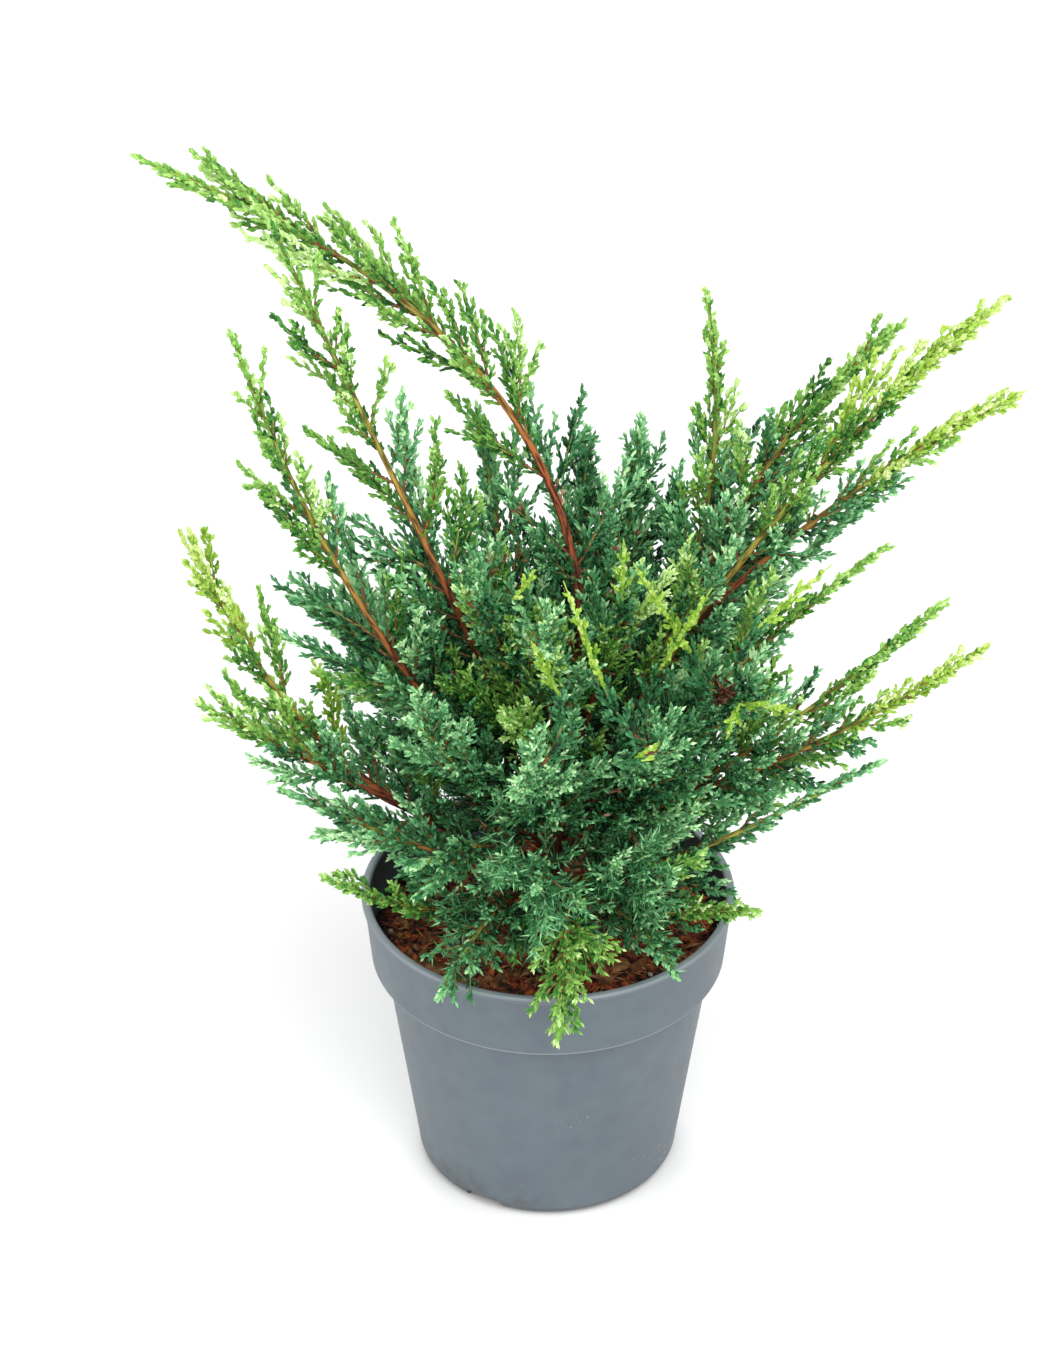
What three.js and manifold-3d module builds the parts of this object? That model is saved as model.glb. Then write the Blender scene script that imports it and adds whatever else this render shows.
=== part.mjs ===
// A spreading juniper in its nursery pot. Millimetres, +Z up, +Y away from the front of the plant.
// The origin is the centre of the pot's flat underside.
import * as THREE from "three";
import { mergeVertices } from "three/addons/utils/BufferGeometryUtils.js";
import Module from "manifold-3d";

const wasm = await Module();
wasm.setup();

const clearance = 0.3; // between pieces that touch on the real plant
const samplesPerShoot = 24; // points that stand for a shoot where the space between shoots is shared out
const upward = new THREE.Vector3(0, 0, 1);

const potSizes = {
  height: 148,
  rimRadius: 87.5,
  lipWidth: 4.2,
  lipHeight: 3,
  collarHeight: 36,
  collarTopRadius: 86.2,
  collarFootRadius: 83.2,
  collarRounding: 3,
  bodyTopRadius: 76.9,
  bodyFootRadius: 62,
  footRounding: 8.7,
  wall: 1.7,
  floor: 4.6,
  sides: 32,
  notches: 3,
  notchWidth: 20,
  notchDepth: 20,
  notchHeight: 3,
  firstNotch: THREE.MathUtils.degToRad(240), // turned from +X, so just left of the front
};

const mixSizes = { level: 128, edgeDrop: 2.5, flatRadius: 18, gap: 0.6 };

const stemSizes = {
  top: new THREE.Vector3(5, -3, 206),
  flareRadius: 11,
  flareHeight: 16,
  footRadius: 7.2,
  topRadius: 4.6,
  sides: 10,
  steps: 8,
};

const twigSizes = {
  limbSides: 5,
  limbStep: 26, // length of one straight stretch of a limb
  slimmestFoot: 1.4,
  lengthPerFoot: 250, // a shoot this much longer has a foot 1 mm thicker
  tipRadius: 0.75,
};

const spraySizes = {
  segmentLength: 10,
  fewestSegments: 3,
  mostSegments: 4,
  rootRadius: 0.6,
  coreShare: 0.065, // radius of a spray's core, as a share of the spray's length
  needleShare: 0.44, // length of its longest needles
  needleLean: 1.3, // how far a needle lies forward along the spray, against 1 sideways
  lift: 0.22, // how far a side spray turns up to the light
  wideAngle: THREE.MathUtils.degToRad(52),
  closeAngle: THREE.MathUtils.degToRad(30),
  turn: THREE.MathUtils.degToRad(137.5),
  spacing: 24, // from one side spray of a shoot to the next
  shortest: 0.4, // a spray cut shorter than this share of its length is skipped
  crowding: 1.8, // how much nearer another shoot may be than its own before a spray stops
  topShare: 0.9, // where along the shoot the last side spray leaves
};

const leaderSizes = {
  segmentLength: 19,
  needleLength: 17,
  tipNeedle: 9,
  heartFullness: 0.8, // under 1 keeps a dense heart fat up to its ends
};

const greens = {
  blue: new THREE.MeshStandardMaterial({ color: "#4f7a66", roughness: 0.75, metalness: 0 }),
  fresh: new THREE.MeshStandardMaterial({ color: "#5f8f4c", roughness: 0.7, metalness: 0 }),
  lime: new THREE.MeshStandardMaterial({ color: "#8fb548", roughness: 0.7, metalness: 0 }),
};
const bark = new THREE.MeshStandardMaterial({ color: "#8a4b2c", roughness: 0.9, metalness: 0 });
const potPlastic = new THREE.MeshStandardMaterial({ color: "#76828a", roughness: 0.6, metalness: 0 });
const mixMaterial = new THREE.MeshStandardMaterial({ color: "#4a3024", roughness: 1, metalness: 0 });

// Every shoot leaves the stem, or the bare foot of another shoot, at the share `at` of its length,
// passes `via` and ends at `tip`. `bare` is the share without foliage, `reach` the length of its
// longest side sprays, and `core` the radius of the closed heart of a dense mass. The bare foot of a
// limb is a bough of its own.
const limbHabit = { bough: true, bare: 0.38, reach: 48, core: 0, green: "fresh" };
const lightHabit = { bough: false, bare: 0.3, reach: 42, core: 0, green: "blue" };
const denseHabit = { bough: false, bare: 0.26, reach: 50, core: 8, green: "blue" };

const limbs = [
  { name: "left_leader", at: 0.94, via: [12, 20, 311], tip: [-177, 45, 505], bare: 0.3, reach: 58 },
  { name: "left_second", at: 0.8, via: [-49, 0, 321], tip: [-121, 20, 487] },
  { name: "left_third", at: 0.66, via: [-65, -10, 276], tip: [-137, -5, 444] },
  { name: "left_low", at: 0.4, via: [-63, -20, 206], tip: [-157, -36, 362], bare: 0.34, green: "lime" },
  { name: "left_back", at: 0.78, via: [-18, 30, 294], tip: [-32, 62, 369], reach: 40, green: "blue" },
  { name: "upright", at: 0.9, via: [66, 26, 312], tip: [70, 50, 436], bare: 0.42 },
  { name: "right_leader", at: 0.34, via: [33, -5, 238], tip: [197, 10, 455], bare: 0.46, green: "lime" },
  { name: "right_front", at: 0.6, via: [82, -24, 284], tip: [146, -30, 352] },
  { name: "right_behind", at: 0.7, via: [80, 28, 270], tip: [143, 34, 337], green: "blue" },
  { name: "right_low", at: 0.46, via: [92, -26, 244], tip: [174, -28, 322] },
  { name: "right_side", at: 0.2, via: [74, -38, 200], tip: [146, -50, 252], bare: 0.3, green: "blue" },
  { name: "back_left", at: 0.6, via: [-58, 34, 232], tip: [-118, 62, 268], bare: 0.3, green: "blue" },
  { name: "back_right", at: 0.4, via: [60, 50, 220], tip: [108, 98, 268], bare: 0.3, green: "blue" },
];

const lightShoots = [
  { name: "left_side", from: "left_low", at: 0.3, via: [-108, -44, 250], tip: [-153, -52, 284], bare: 0.25 },
  { name: "left_inner", at: 0.3, via: [-62, -45, 205], tip: [-117, -50, 236], reach: 48 },
  { name: "left_rim", at: 0.16, via: [-48, -42, 165], tip: [-99, -72, 204], green: "lime" },
  { name: "top_back", at: 0.86, via: [12, 42, 275], tip: [16, 78, 345], bare: 0.4 },
  { name: "top_right_back", at: 0.98, via: [30, 30, 290], tip: [42, 60, 363], bare: 0.4 },
  { name: "right_second", from: "right_leader", at: 0.38, via: [98, 22, 365], tip: [154, 24, 434] },
  { name: "right_third", from: "right_leader", at: 0.42, via: [124, -6, 358], tip: [203, -8, 417] },
  { name: "right_lower", from: "right_low", at: 0.32, via: [128, -44, 264], tip: [190, -52, 314] },
  { name: "right_rim", at: 0.12, via: [48, -40, 163], tip: [92, -68, 184], reach: 38, green: "fresh" },
  { name: "front_rim", at: 0.1, via: [8, -68, 180], tip: [4, -119, 152], reach: 38, green: "fresh" },
  { name: "front_left_rim", at: 0.14, via: [-24, -54, 174], tip: [-48, -98, 161] },
  { name: "front_right_rim", at: 0.08, via: [36, -56, 172], tip: [56, -96, 170] },
  { name: "back_rim_left", at: 0.2, via: [-38, 44, 170], tip: [-84, 74, 190] },
  { name: "back_rim_right", at: 0.24, via: [22, 54, 174], tip: [30, 108, 192] },
];

const denseShoots = [
  { name: "front_low_left", at: 0.34, via: [-32, -52, 208], tip: [-58, -90, 224] },
  { name: "front_low", at: 0.26, via: [-2, -70, 208], tip: [-6, -122, 234] },
  { name: "front_low_right", at: 0.3, via: [36, -66, 204], tip: [54, -108, 228] },
  { name: "mid_left", at: 0.5, via: [-38, -48, 246], tip: [-60, -76, 292] },
  { name: "mid_front", at: 0.44, via: [-2, -70, 250], tip: [-8, -122, 300] },
  { name: "mid_front_right", at: 0.5, via: [40, -60, 250], tip: [50, -106, 300] },
  { name: "mid_right", at: 0.64, via: [62, -48, 262], tip: [102, -62, 296] },
  { name: "top_left", at: 0.72, via: [-20, -24, 290], tip: [-40, -42, 338] },
  { name: "top_front", at: 0.74, via: [0, -46, 292], tip: [-2, -80, 345], green: "fresh" },
  { name: "top_middle", at: 0.86, via: [28, -28, 300], tip: [40, -52, 358], green: "fresh" },
  { name: "top_right", at: 0.8, via: [56, -10, 296], tip: [80, -30, 350], green: "fresh" },
  { name: "back_left_mid", at: 0.5, via: [-30, 62, 226], tip: [-56, 122, 260] },
  { name: "back_right_mid", at: 0.56, via: [20, 68, 226], tip: [30, 138, 266] },
];

const shoots = [
  ...limbs.map((limb) => ({ ...limbHabit, ...limb })),
  ...lightShoots.map((shoot) => ({ ...lightHabit, ...shoot })),
  ...denseShoots.map((shoot) => ({ ...denseHabit, ...shoot })),
];

// Seeded numbers from 0 to 1, the same on every run.
function seededNumbers(seed) {
  let state = seed >>> 0;
  return () => {
    state = (Math.imul(state, 1664525) + 1013904223) >>> 0;
    return state / 2 ** 32;
  };
}

function solidFrom(geometry) {
  const bare = geometry.clone();
  bare.deleteAttribute("normal");
  bare.deleteAttribute("uv");
  const merged = mergeVertices(bare, 1e-4);
  return new wasm.Manifold(
    new wasm.Mesh({
      numProp: 3,
      vertProperties: merged.getAttribute("position").array,
      triVerts: new Uint32Array(merged.index.array),
    }),
  );
}

function geometryFrom(solid) {
  const { vertProperties, triVerts } = solid.getMesh();
  const geometry = new THREE.BufferGeometry();
  geometry.setAttribute("position", new THREE.BufferAttribute(vertProperties, 3));
  geometry.setIndex(new THREE.BufferAttribute(triVerts, 1));
  geometry.computeVertexNormals();
  return geometry;
}

function largestPiece(solid) {
  return solid.decompose().reduce((best, piece) => (piece.volume() > best.volume() ? piece : best));
}

function addPiece(group, name, solid, material) {
  const piece = new THREE.Mesh(geometryFrom(solid), material);
  piece.name = name;
  group.add(piece);
}

// Points on an arc of the profile plane, from one angle to the other.
function arcPoints(radius, height, size, fromAngle, toAngle, count) {
  return Array.from({ length: count + 1 }, (_, i) => {
    const angle = THREE.MathUtils.lerp(fromAngle, toAngle, i / count);
    return new THREE.Vector2(radius + size * Math.cos(angle), height + size * Math.sin(angle));
  });
}

// A profile of radius and height turned about the Z axis.
function turned(profile) {
  return new THREE.LatheGeometry(profile, potSizes.sides).rotateX(Math.PI / 2);
}

const collarFoot = potSizes.height - potSizes.collarHeight;
const bodySlope = (potSizes.bodyTopRadius - potSizes.bodyFootRadius) / (collarFoot - potSizes.footRounding);
const innerCollarRadius = potSizes.collarFootRadius - potSizes.wall;

function innerBodyRadius(height) {
  return potSizes.bodyFootRadius + bodySlope * (height - potSizes.footRounding) - potSizes.wall;
}

function potSolid() {
  const { height, rimRadius, lipWidth, lipHeight, wall, floor } = potSizes;
  const { collarTopRadius, collarFootRadius, collarRounding } = potSizes;
  const { bodyTopRadius, bodyFootRadius, footRounding } = potSizes;
  const lipInner = rimRadius - lipWidth;
  const lipRound = lipHeight / 2;
  const right = 0;
  const top = Math.PI / 2;
  const profile = [
    new THREE.Vector2(0, 0),
    ...arcPoints(bodyFootRadius - footRounding, footRounding, footRounding, -top, right, 2),
    new THREE.Vector2(bodyTopRadius, collarFoot),
    new THREE.Vector2(collarFootRadius - collarRounding, collarFoot),
    new THREE.Vector2(collarFootRadius, collarFoot + collarRounding),
    new THREE.Vector2(collarTopRadius, height - lipHeight),
    ...arcPoints(rimRadius - lipRound, height - lipRound, lipRound, -top, top, 3),
    ...arcPoints(lipInner + lipRound, height - lipRound, lipRound, top, 2 * top, 1),
    new THREE.Vector2(collarTopRadius - wall, height - lipHeight - wall),
    new THREE.Vector2(innerCollarRadius, collarFoot + wall),
    new THREE.Vector2(innerBodyRadius(collarFoot + wall), collarFoot + wall),
    new THREE.Vector2(innerBodyRadius(floor), floor),
    new THREE.Vector2(0, floor),
  ];
  let solid = solidFrom(turned(profile));
  for (let i = 0; i < potSizes.notches; i++) {
    const notch = new THREE.BoxGeometry(potSizes.notchDepth, potSizes.notchWidth, 2 * potSizes.notchHeight);
    notch.translate(potSizes.bodyFootRadius, 0, 0);
    notch.rotateZ(potSizes.firstNotch + (i * 2 * Math.PI) / potSizes.notches);
    solid = solid.subtract(solidFrom(notch));
  }
  return solid;
}

function mixSolid() {
  const { level, edgeDrop, flatRadius, gap } = mixSizes;
  const ledge = collarFoot + potSizes.wall + gap;
  const profile = [
    new THREE.Vector2(0, potSizes.floor + gap),
    new THREE.Vector2(innerBodyRadius(potSizes.floor) - gap, potSizes.floor + gap),
    new THREE.Vector2(innerBodyRadius(ledge) - gap, ledge),
    new THREE.Vector2(innerCollarRadius - gap, ledge),
    new THREE.Vector2(innerCollarRadius - gap, level - edgeDrop),
    new THREE.Vector2(flatRadius, level),
    new THREE.Vector2(0, level),
  ];
  return solidFrom(turned(profile));
}

// Two directions square to the one given, the first of them level.
function sideways(along) {
  const level = new THREE.Vector3().crossVectors(along, upward);
  if (level.lengthSq() < 1e-6) level.set(1, 0, 0);
  level.normalize();
  return [level, new THREE.Vector3().crossVectors(along, level).normalize()];
}

// A closed skin over rings of `sides` points, the last ring drawn to a point where it is only one.
function skinned(rings) {
  const sides = rings[0].length;
  const corners = [];
  const addFace = (a, b, c) => corners.push(...a.toArray(), ...b.toArray(), ...c.toArray());
  const centre = (points) => points.reduce((sum, point) => sum.add(point), new THREE.Vector3());
  const first = centre(rings[0]).divideScalar(sides);
  const last = centre(rings.at(-1)).divideScalar(sides);
  for (let j = 0; j < sides; j++) {
    const next = (j + 1) % sides;
    addFace(first, rings[0][next], rings[0][j]);
    addFace(last, rings.at(-1)[j], rings.at(-1)[next]);
    for (let i = 0; i + 1 < rings.length; i++) {
      addFace(rings[i][j], rings[i][next], rings[i + 1][next]);
      addFace(rings[i][j], rings[i + 1][next], rings[i + 1][j]);
    }
  }
  const geometry = new THREE.BufferGeometry();
  geometry.setAttribute("position", new THREE.Float32BufferAttribute(corners, 3));
  return geometry;
}

function ring(centre, along, radius, sides, turn = 0) {
  const [level, square] = sideways(along);
  return Array.from({ length: sides }, (_, j) => {
    const angle = turn + (2 * Math.PI * j) / sides;
    return centre
      .clone()
      .addScaledVector(level, radius * Math.cos(angle))
      .addScaledVector(square, radius * Math.sin(angle));
  });
}

// A tapering limb along a stretch of a curve.
function limbSolid(curve, from, to, radiusAt) {
  const steps = Math.max(2, Math.round(((to - from) * curve.getLength()) / twigSizes.limbStep));
  const rings = Array.from({ length: steps + 1 }, (_, i) => {
    const share = THREE.MathUtils.lerp(from, to, i / steps);
    return ring(curve.getPointAt(share), curve.getTangentAt(share), radiusAt(share), twigSizes.limbSides);
  });
  return solidFrom(skinned(rings));
}

// A three-sided core whose rings are turned in steps, with a needle on every second face of each
// stretch that has a needle length.
function needledSolid(stations) {
  const rings = stations.map(({ centre, along, radius }, i) => {
    const turn = ((i % 2) * Math.PI) / 3;
    return ring(centre, along, radius, 3, turn);
  });
  const corners = [];
  const addFace = (a, b, c) => corners.push(...a.toArray(), ...b.toArray(), ...c.toArray());
  const addNeedle = (a, b, c, { along, needle }) => {
    const outward = new THREE.Vector3().crossVectors(b.clone().sub(a), c.clone().sub(a)).normalize();
    const direction = outward.addScaledVector(along, spraySizes.needleLean).normalize();
    const point = a.clone().add(b).add(c).divideScalar(3).addScaledVector(direction, needle);
    addFace(a, b, point);
    addFace(b, c, point);
    addFace(c, a, point);
  };
  for (let i = 0; i + 1 < rings.length; i++) {
    const [near, far] = [rings[i], rings[i + 1]];
    const even = i % 2 === 0;
    for (let j = 0; j < 3; j++) {
      const next = (j + 1) % 3;
      const outer = [near[j], near[next], even ? far[j] : far[next]];
      if (stations[i].needle) addNeedle(...outer, stations[i]);
      else addFace(...outer);
      if (even) addFace(near[next], far[next], far[j]);
      else addFace(near[j], far[next], far[j]);
    }
  }
  const last = rings.at(-1);
  addFace(rings[0][0], rings[0][2], rings[0][1]);
  addFace(last[0], last[1], last[2]);
  const geometry = new THREE.BufferGeometry();
  geometry.setAttribute("position", new THREE.Float32BufferAttribute(corners, 3));
  return solidFrom(geometry);
}

const stemFoot = new THREE.Vector3(0, 0, mixSizes.level + clearance);
const stemCurve = new THREE.QuadraticBezierCurve3(
  stemFoot,
  new THREE.Vector3(0, 0, (stemFoot.z + stemSizes.top.z) / 2),
  stemSizes.top,
);

function stemRadiusAt(share) {
  const height = share * (stemSizes.top.z - stemFoot.z);
  const { flareRadius, flareHeight, footRadius, topRadius } = stemSizes;
  const flare = (flareRadius - footRadius) * Math.exp((-3 * height) / flareHeight);
  return THREE.MathUtils.lerp(footRadius, topRadius, share) + flare;
}

function stemSolid(extra = 0) {
  const { sides, steps } = stemSizes;
  const rings = Array.from({ length: steps + 1 }, (_, i) => {
    const share = (i / steps) ** 1.3;
    const radius = stemRadiusAt(share) + extra;
    return ring(stemCurve.getPointAt(share), stemCurve.getTangentAt(share), radius, sides);
  });
  return solidFrom(skinned(rings));
}

// The shoot's line from its foot through `via` to its tip, as one quadratic curve.
function shootCurve(foot, via, tip) {
  const share = foot.distanceTo(via) / (foot.distanceTo(via) + via.distanceTo(tip));
  const control = via
    .clone()
    .addScaledVector(foot, -((1 - share) ** 2))
    .addScaledVector(tip, -(share ** 2))
    .divideScalar(2 * share * (1 - share));
  return new THREE.QuadraticBezierCurve3(foot, control, tip);
}

function layOut() {
  const curves = new Map();
  for (const shoot of shoots) {
    const parent = shoot.from ? curves.get(shoot.from) : stemCurve;
    const foot = parent.getPointAt(shoot.at);
    const curve = shootCurve(foot, new THREE.Vector3(...shoot.via), new THREE.Vector3(...shoot.tip));
    curves.set(shoot.name, curve);
  }
  return curves;
}

function radiusFor(curve, extra = 0) {
  const foot = twigSizes.slimmestFoot + curve.getLength() / twigSizes.lengthPerFoot;
  return (share) => THREE.MathUtils.lerp(foot, twigSizes.tipRadius, share) + extra;
}

// The twig that runs through a mass: smooth where it is bare, then needled up to the tip, and swollen
// to a closed heart where the mass is dense.
function leaderSolid(shoot, curve, start, extra = 0) {
  const length = curve.getLength();
  const plain = radiusFor(curve, extra);
  const bareSteps = Math.round((Math.max(0, shoot.bare - start) * length) / twigSizes.limbStep);
  const leafySteps = Math.round(((1 - shoot.bare) * length) / leaderSizes.segmentLength);
  const stations = [];
  const addStation = (share) => {
    const along = Math.max(0, (share - shoot.bare) / (1 - shoot.bare));
    const needle = THREE.MathUtils.lerp(leaderSizes.needleLength, leaderSizes.tipNeedle, along) + extra;
    stations.push({
      centre: curve.getPointAt(share),
      along: curve.getTangentAt(share),
      radius: plain(share) + shoot.core * Math.sin(Math.PI * along) ** leaderSizes.heartFullness,
      needle: share < shoot.bare ? 0 : needle,
    });
  };
  for (let i = 0; i < bareSteps; i++) addStation(THREE.MathUtils.lerp(start, shoot.bare, i / bareSteps));
  for (let i = 0; i <= leafySteps; i++) {
    const share = THREE.MathUtils.lerp(shoot.bare, 1, i / leafySteps);
    addStation(Math.max(start, share));
  }
  return needledSolid(stations);
}

// One side spray: slim at its root, fullest a third of the way up.
function spraySolid(root, along, length, extra = 0) {
  const { segmentLength, fewestSegments, mostSegments, rootRadius, coreShare, needleShare } = spraySizes;
  const segments = THREE.MathUtils.clamp(Math.round(length / segmentLength), fewestSegments, mostSegments);
  const stations = Array.from({ length: segments + 1 }, (_, i) => {
    const share = i / segments;
    return {
      centre: root.clone().addScaledVector(along, share * (length + extra)),
      along,
      radius: (i === 0 ? rootRadius : coreShare * length * (1 - 0.8 * share ** 2)) + extra,
      needle: i === 0 ? 0 : needleShare * length * Math.sin(Math.PI * (0.3 + 0.55 * share)) + extra,
    };
  });
  return needledSolid(stations);
}

// How much of a spray fits before it comes nearer to another shoot than to its own.
function lengthInOwnSpace(name, root, along, length, samples) {
  const own = samples.get(name);
  const nearest = (points, point) => Math.min(...points.map((other) => other.distanceToSquared(point)));
  const steps = 6;
  for (let i = 2; i <= steps; i++) {
    const point = root.clone().addScaledVector(along, (length * i) / steps);
    const ownDistance = nearest(own, point);
    for (const [other, points] of samples) {
      const isCrowded = nearest(points, point) * spraySizes.crowding ** 2 < ownDistance;
      if (other !== name && isCrowded) return (length * (i - 1)) / steps;
    }
  }
  return length;
}

// The side sprays of a shoot: spaced along it, each turned on from the last, shorter and closer to the tip.
function spraysOf(shoot, curve, seed) {
  const random = seededNumbers(seed);
  const count = Math.round((curve.getLength() * (spraySizes.topShare - shoot.bare)) / spraySizes.spacing);
  const sprays = [];
  for (let i = 0; i < count; i++) {
    const along = (i + 0.35 + 0.3 * random()) / count;
    const share = THREE.MathUtils.lerp(shoot.bare, spraySizes.topShare, along);
    const tangent = curve.getTangentAt(share);
    const [level, square] = sideways(tangent);
    const turn = seed + i * spraySizes.turn + 0.5 * random();
    const lean = THREE.MathUtils.lerp(spraySizes.wideAngle, spraySizes.closeAngle, along);
    const direction = tangent
      .clone()
      .multiplyScalar(Math.cos(lean))
      .addScaledVector(level, Math.sin(lean) * Math.cos(turn))
      .addScaledVector(square, Math.sin(lean) * Math.sin(turn))
      .addScaledVector(upward, spraySizes.lift)
      .normalize();
    const length = shoot.reach * (1 - 0.45 * along) * (0.85 + 0.3 * random());
    sprays.push({ root: curve.getPointAt(share), direction, length });
  }
  return sprays;
}

const juniper = new THREE.Group();
const pot = potSolid();
const mix = mixSolid();
const stem = stemSolid();
addPiece(juniper, "pot", pot, potPlastic);
addPiece(juniper, "potting_mix", mix, mixMaterial);
addPiece(juniper, "stem", stem, bark);

const curves = layOut();
const samples = new Map();
for (const shoot of shoots) {
  const points = [];
  for (let i = 0; i <= samplesPerShoot; i++) {
    const share = THREE.MathUtils.lerp(shoot.bare, 1, i / samplesPerShoot);
    points.push(curves.get(shoot.name).getPointAt(share));
  }
  samples.set(shoot.name, points);
}

// Limbs first: each bough, and each mass's own twig, is cut clear of the stem and of every limb before it.
let taken = pot.add(mix).add(stem);
let fattened = stemSolid(clearance);
for (const shoot of shoots.filter((one) => one.bough)) {
  const curve = curves.get(shoot.name);
  const bough = largestPiece(limbSolid(curve, 0, shoot.bare, radiusFor(curve)).subtract(fattened));
  fattened = fattened.add(limbSolid(curve, 0, shoot.bare, radiusFor(curve, clearance)));
  taken = taken.add(bough);
  addPiece(juniper, "bough_" + shoot.name, bough, bark);
}
const leaders = new Map();
for (const shoot of shoots) {
  const curve = curves.get(shoot.name);
  const start = shoot.bough ? shoot.bare + clearance / curve.getLength() : 0;
  leaders.set(shoot.name, largestPiece(leaderSolid(shoot, curve, start).subtract(fattened)));
  fattened = fattened.add(leaderSolid(shoot, curve, start, clearance));
}
for (const leader of leaders.values()) taken = taken.add(leader);

// Then each mass: its sprays are sunk in its twig, and one that touches anything else is skipped.
shoots.forEach((shoot, order) => {
  const curve = curves.get(shoot.name);
  let mass = leaders.get(shoot.name);
  const others = taken.subtract(mass);
  for (const { root, direction, length } of spraysOf(shoot, curve, order)) {
    const fitting = lengthInOwnSpace(shoot.name, root, direction, length, samples);
    const touches = spraySolid(root, direction, fitting, clearance).intersect(others).volume() > 0;
    if (touches || fitting < spraySizes.shortest * length) continue;
    mass = mass.add(spraySolid(root, direction, fitting));
  }
  mass = largestPiece(mass);
  taken = others.add(mass);
  addPiece(juniper, "foliage_" + shoot.name, mass, greens[shoot.green]);
});
export default juniper;
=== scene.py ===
import math

import bmesh
import bpy
import numpy as np
from mathutils import Euler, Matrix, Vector, noise


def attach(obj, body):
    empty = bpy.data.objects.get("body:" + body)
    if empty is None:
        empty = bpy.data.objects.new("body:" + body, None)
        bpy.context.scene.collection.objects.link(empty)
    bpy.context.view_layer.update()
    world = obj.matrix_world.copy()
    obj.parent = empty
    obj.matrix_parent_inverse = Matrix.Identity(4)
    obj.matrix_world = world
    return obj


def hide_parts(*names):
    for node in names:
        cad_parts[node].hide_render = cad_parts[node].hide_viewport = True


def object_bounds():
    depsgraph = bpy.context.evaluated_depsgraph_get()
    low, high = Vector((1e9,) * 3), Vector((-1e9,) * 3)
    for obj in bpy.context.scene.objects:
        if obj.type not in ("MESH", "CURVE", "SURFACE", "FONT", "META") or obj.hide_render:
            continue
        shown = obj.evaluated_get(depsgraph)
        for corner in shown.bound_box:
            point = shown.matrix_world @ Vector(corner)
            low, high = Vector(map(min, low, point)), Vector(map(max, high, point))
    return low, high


# A young juniper in its nursery pot. The pieces are worked out in millimetres and made in metres.
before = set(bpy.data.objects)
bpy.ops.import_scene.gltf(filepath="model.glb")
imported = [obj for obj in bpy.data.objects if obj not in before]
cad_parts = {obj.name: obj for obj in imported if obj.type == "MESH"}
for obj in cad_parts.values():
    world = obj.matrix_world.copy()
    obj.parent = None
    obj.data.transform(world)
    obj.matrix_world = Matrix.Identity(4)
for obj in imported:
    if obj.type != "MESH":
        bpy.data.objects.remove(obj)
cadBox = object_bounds()
mm = 0.001
fullTurn = 2 * math.pi
up = np.array([0.0, 0.0, 1.0])


def linearColour(hexColour):
    # sRGB hex to the linear values that shaders use
    parts = [int(hexColour[i:i + 2], 16) / 255 for i in (1, 3, 5)]
    return (*(c / 12.92 if c <= 0.04045 else ((c + 0.055) / 1.055) ** 2.4 for c in parts), 1.0)


def addNode(tree, kind, inputs=None, stops=(), **settings):
    # one node with its settings and links, and the colours of a ramp
    node = tree.nodes.new(kind)
    for name, value in settings.items():
        setattr(node, name, value)
    for name, value in (inputs or {}).items():
        socket = node.inputs[name]
        if isinstance(value, bpy.types.NodeSocket):
            tree.links.new(value, socket)
        else:
            socket.default_value = value
    for i, (place, colour) in enumerate(stops):
        element = node.color_ramp.elements[i] if i < 2 else node.color_ramp.elements.new(place)
        element.position = place
        element.color = linearColour(colour)
    return node


def startMaterial(name, colour, roughness, ior=1.45):
    material = bpy.data.materials.new(name)
    material.use_nodes = True
    tree = material.node_tree
    shader = tree.nodes["Principled BSDF"]
    shader.inputs["Base Color"].default_value = linearColour(colour)
    shader.inputs["Roughness"].default_value = roughness
    shader.inputs["IOR"].default_value = ior
    return material, tree, shader


def objectPattern(tree, size, detail=3.0, stretch=(1, 1, 1)):
    # a noise whose lumps are about `size` millimetres across
    place = addNode(tree, "ShaderNodeTexCoord").outputs["Object"]
    scale = [s / (size * mm) for s in stretch]
    mapped = addNode(tree, "ShaderNodeMapping", {"Vector": place, "Scale": scale})
    spots = addNode(tree, "ShaderNodeTexNoise", {
        "Vector": mapped.outputs["Vector"], "Scale": 1.0, "Detail": detail})
    return spots.outputs["Fac"]


def dressShader(tree, shader, colour, relief, strength, depth):
    # a colour, and a fine relief about `depth` millimetres deep
    bump = addNode(tree, "ShaderNodeBump", {"Height": relief, "Strength": strength, "Distance": depth * mm})
    tree.links.new(colour, shader.inputs["Base Color"])
    tree.links.new(bump.outputs["Normal"], shader.inputs["Normal"])


def startTree(name, inputs):
    # a Geometry Nodes tree with its named inputs
    tree = bpy.data.node_groups.new(name, "GeometryNodeTree")
    for title, kind in {"Geometry": "Geometry", "Material": "Material", **inputs}.items():
        tree.interface.new_socket(title, in_out="INPUT", socket_type="NodeSocket" + kind)
    tree.interface.new_socket("Geometry", in_out="OUTPUT", socket_type="NodeSocketGeometry")
    return tree, addNode(tree, "NodeGroupInput").outputs


def endTree(tree, geometry, material):
    real = addNode(tree, "GeometryNodeRealizeInstances", {"Geometry": geometry})
    painted = addNode(tree, "GeometryNodeSetMaterial", {"Geometry": real.outputs[0], "Material": material})
    addNode(tree, "NodeGroupOutput", {"Geometry": painted.outputs[0]})
    return tree


def addObject(name, data):
    piece = bpy.data.objects.new(name, data)
    bpy.context.scene.collection.objects.link(piece)
    return piece


def meshObject(name, vertices, faces, material=None, smooth=True):
    mesh = bpy.data.meshes.new(name)
    mesh.from_pydata([tuple(v) for v in vertices], [], faces)
    mesh.update()
    if smooth:
        mesh.shade_smooth()
    if material:
        mesh.materials.append(material)
    return addObject(name, mesh)


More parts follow.
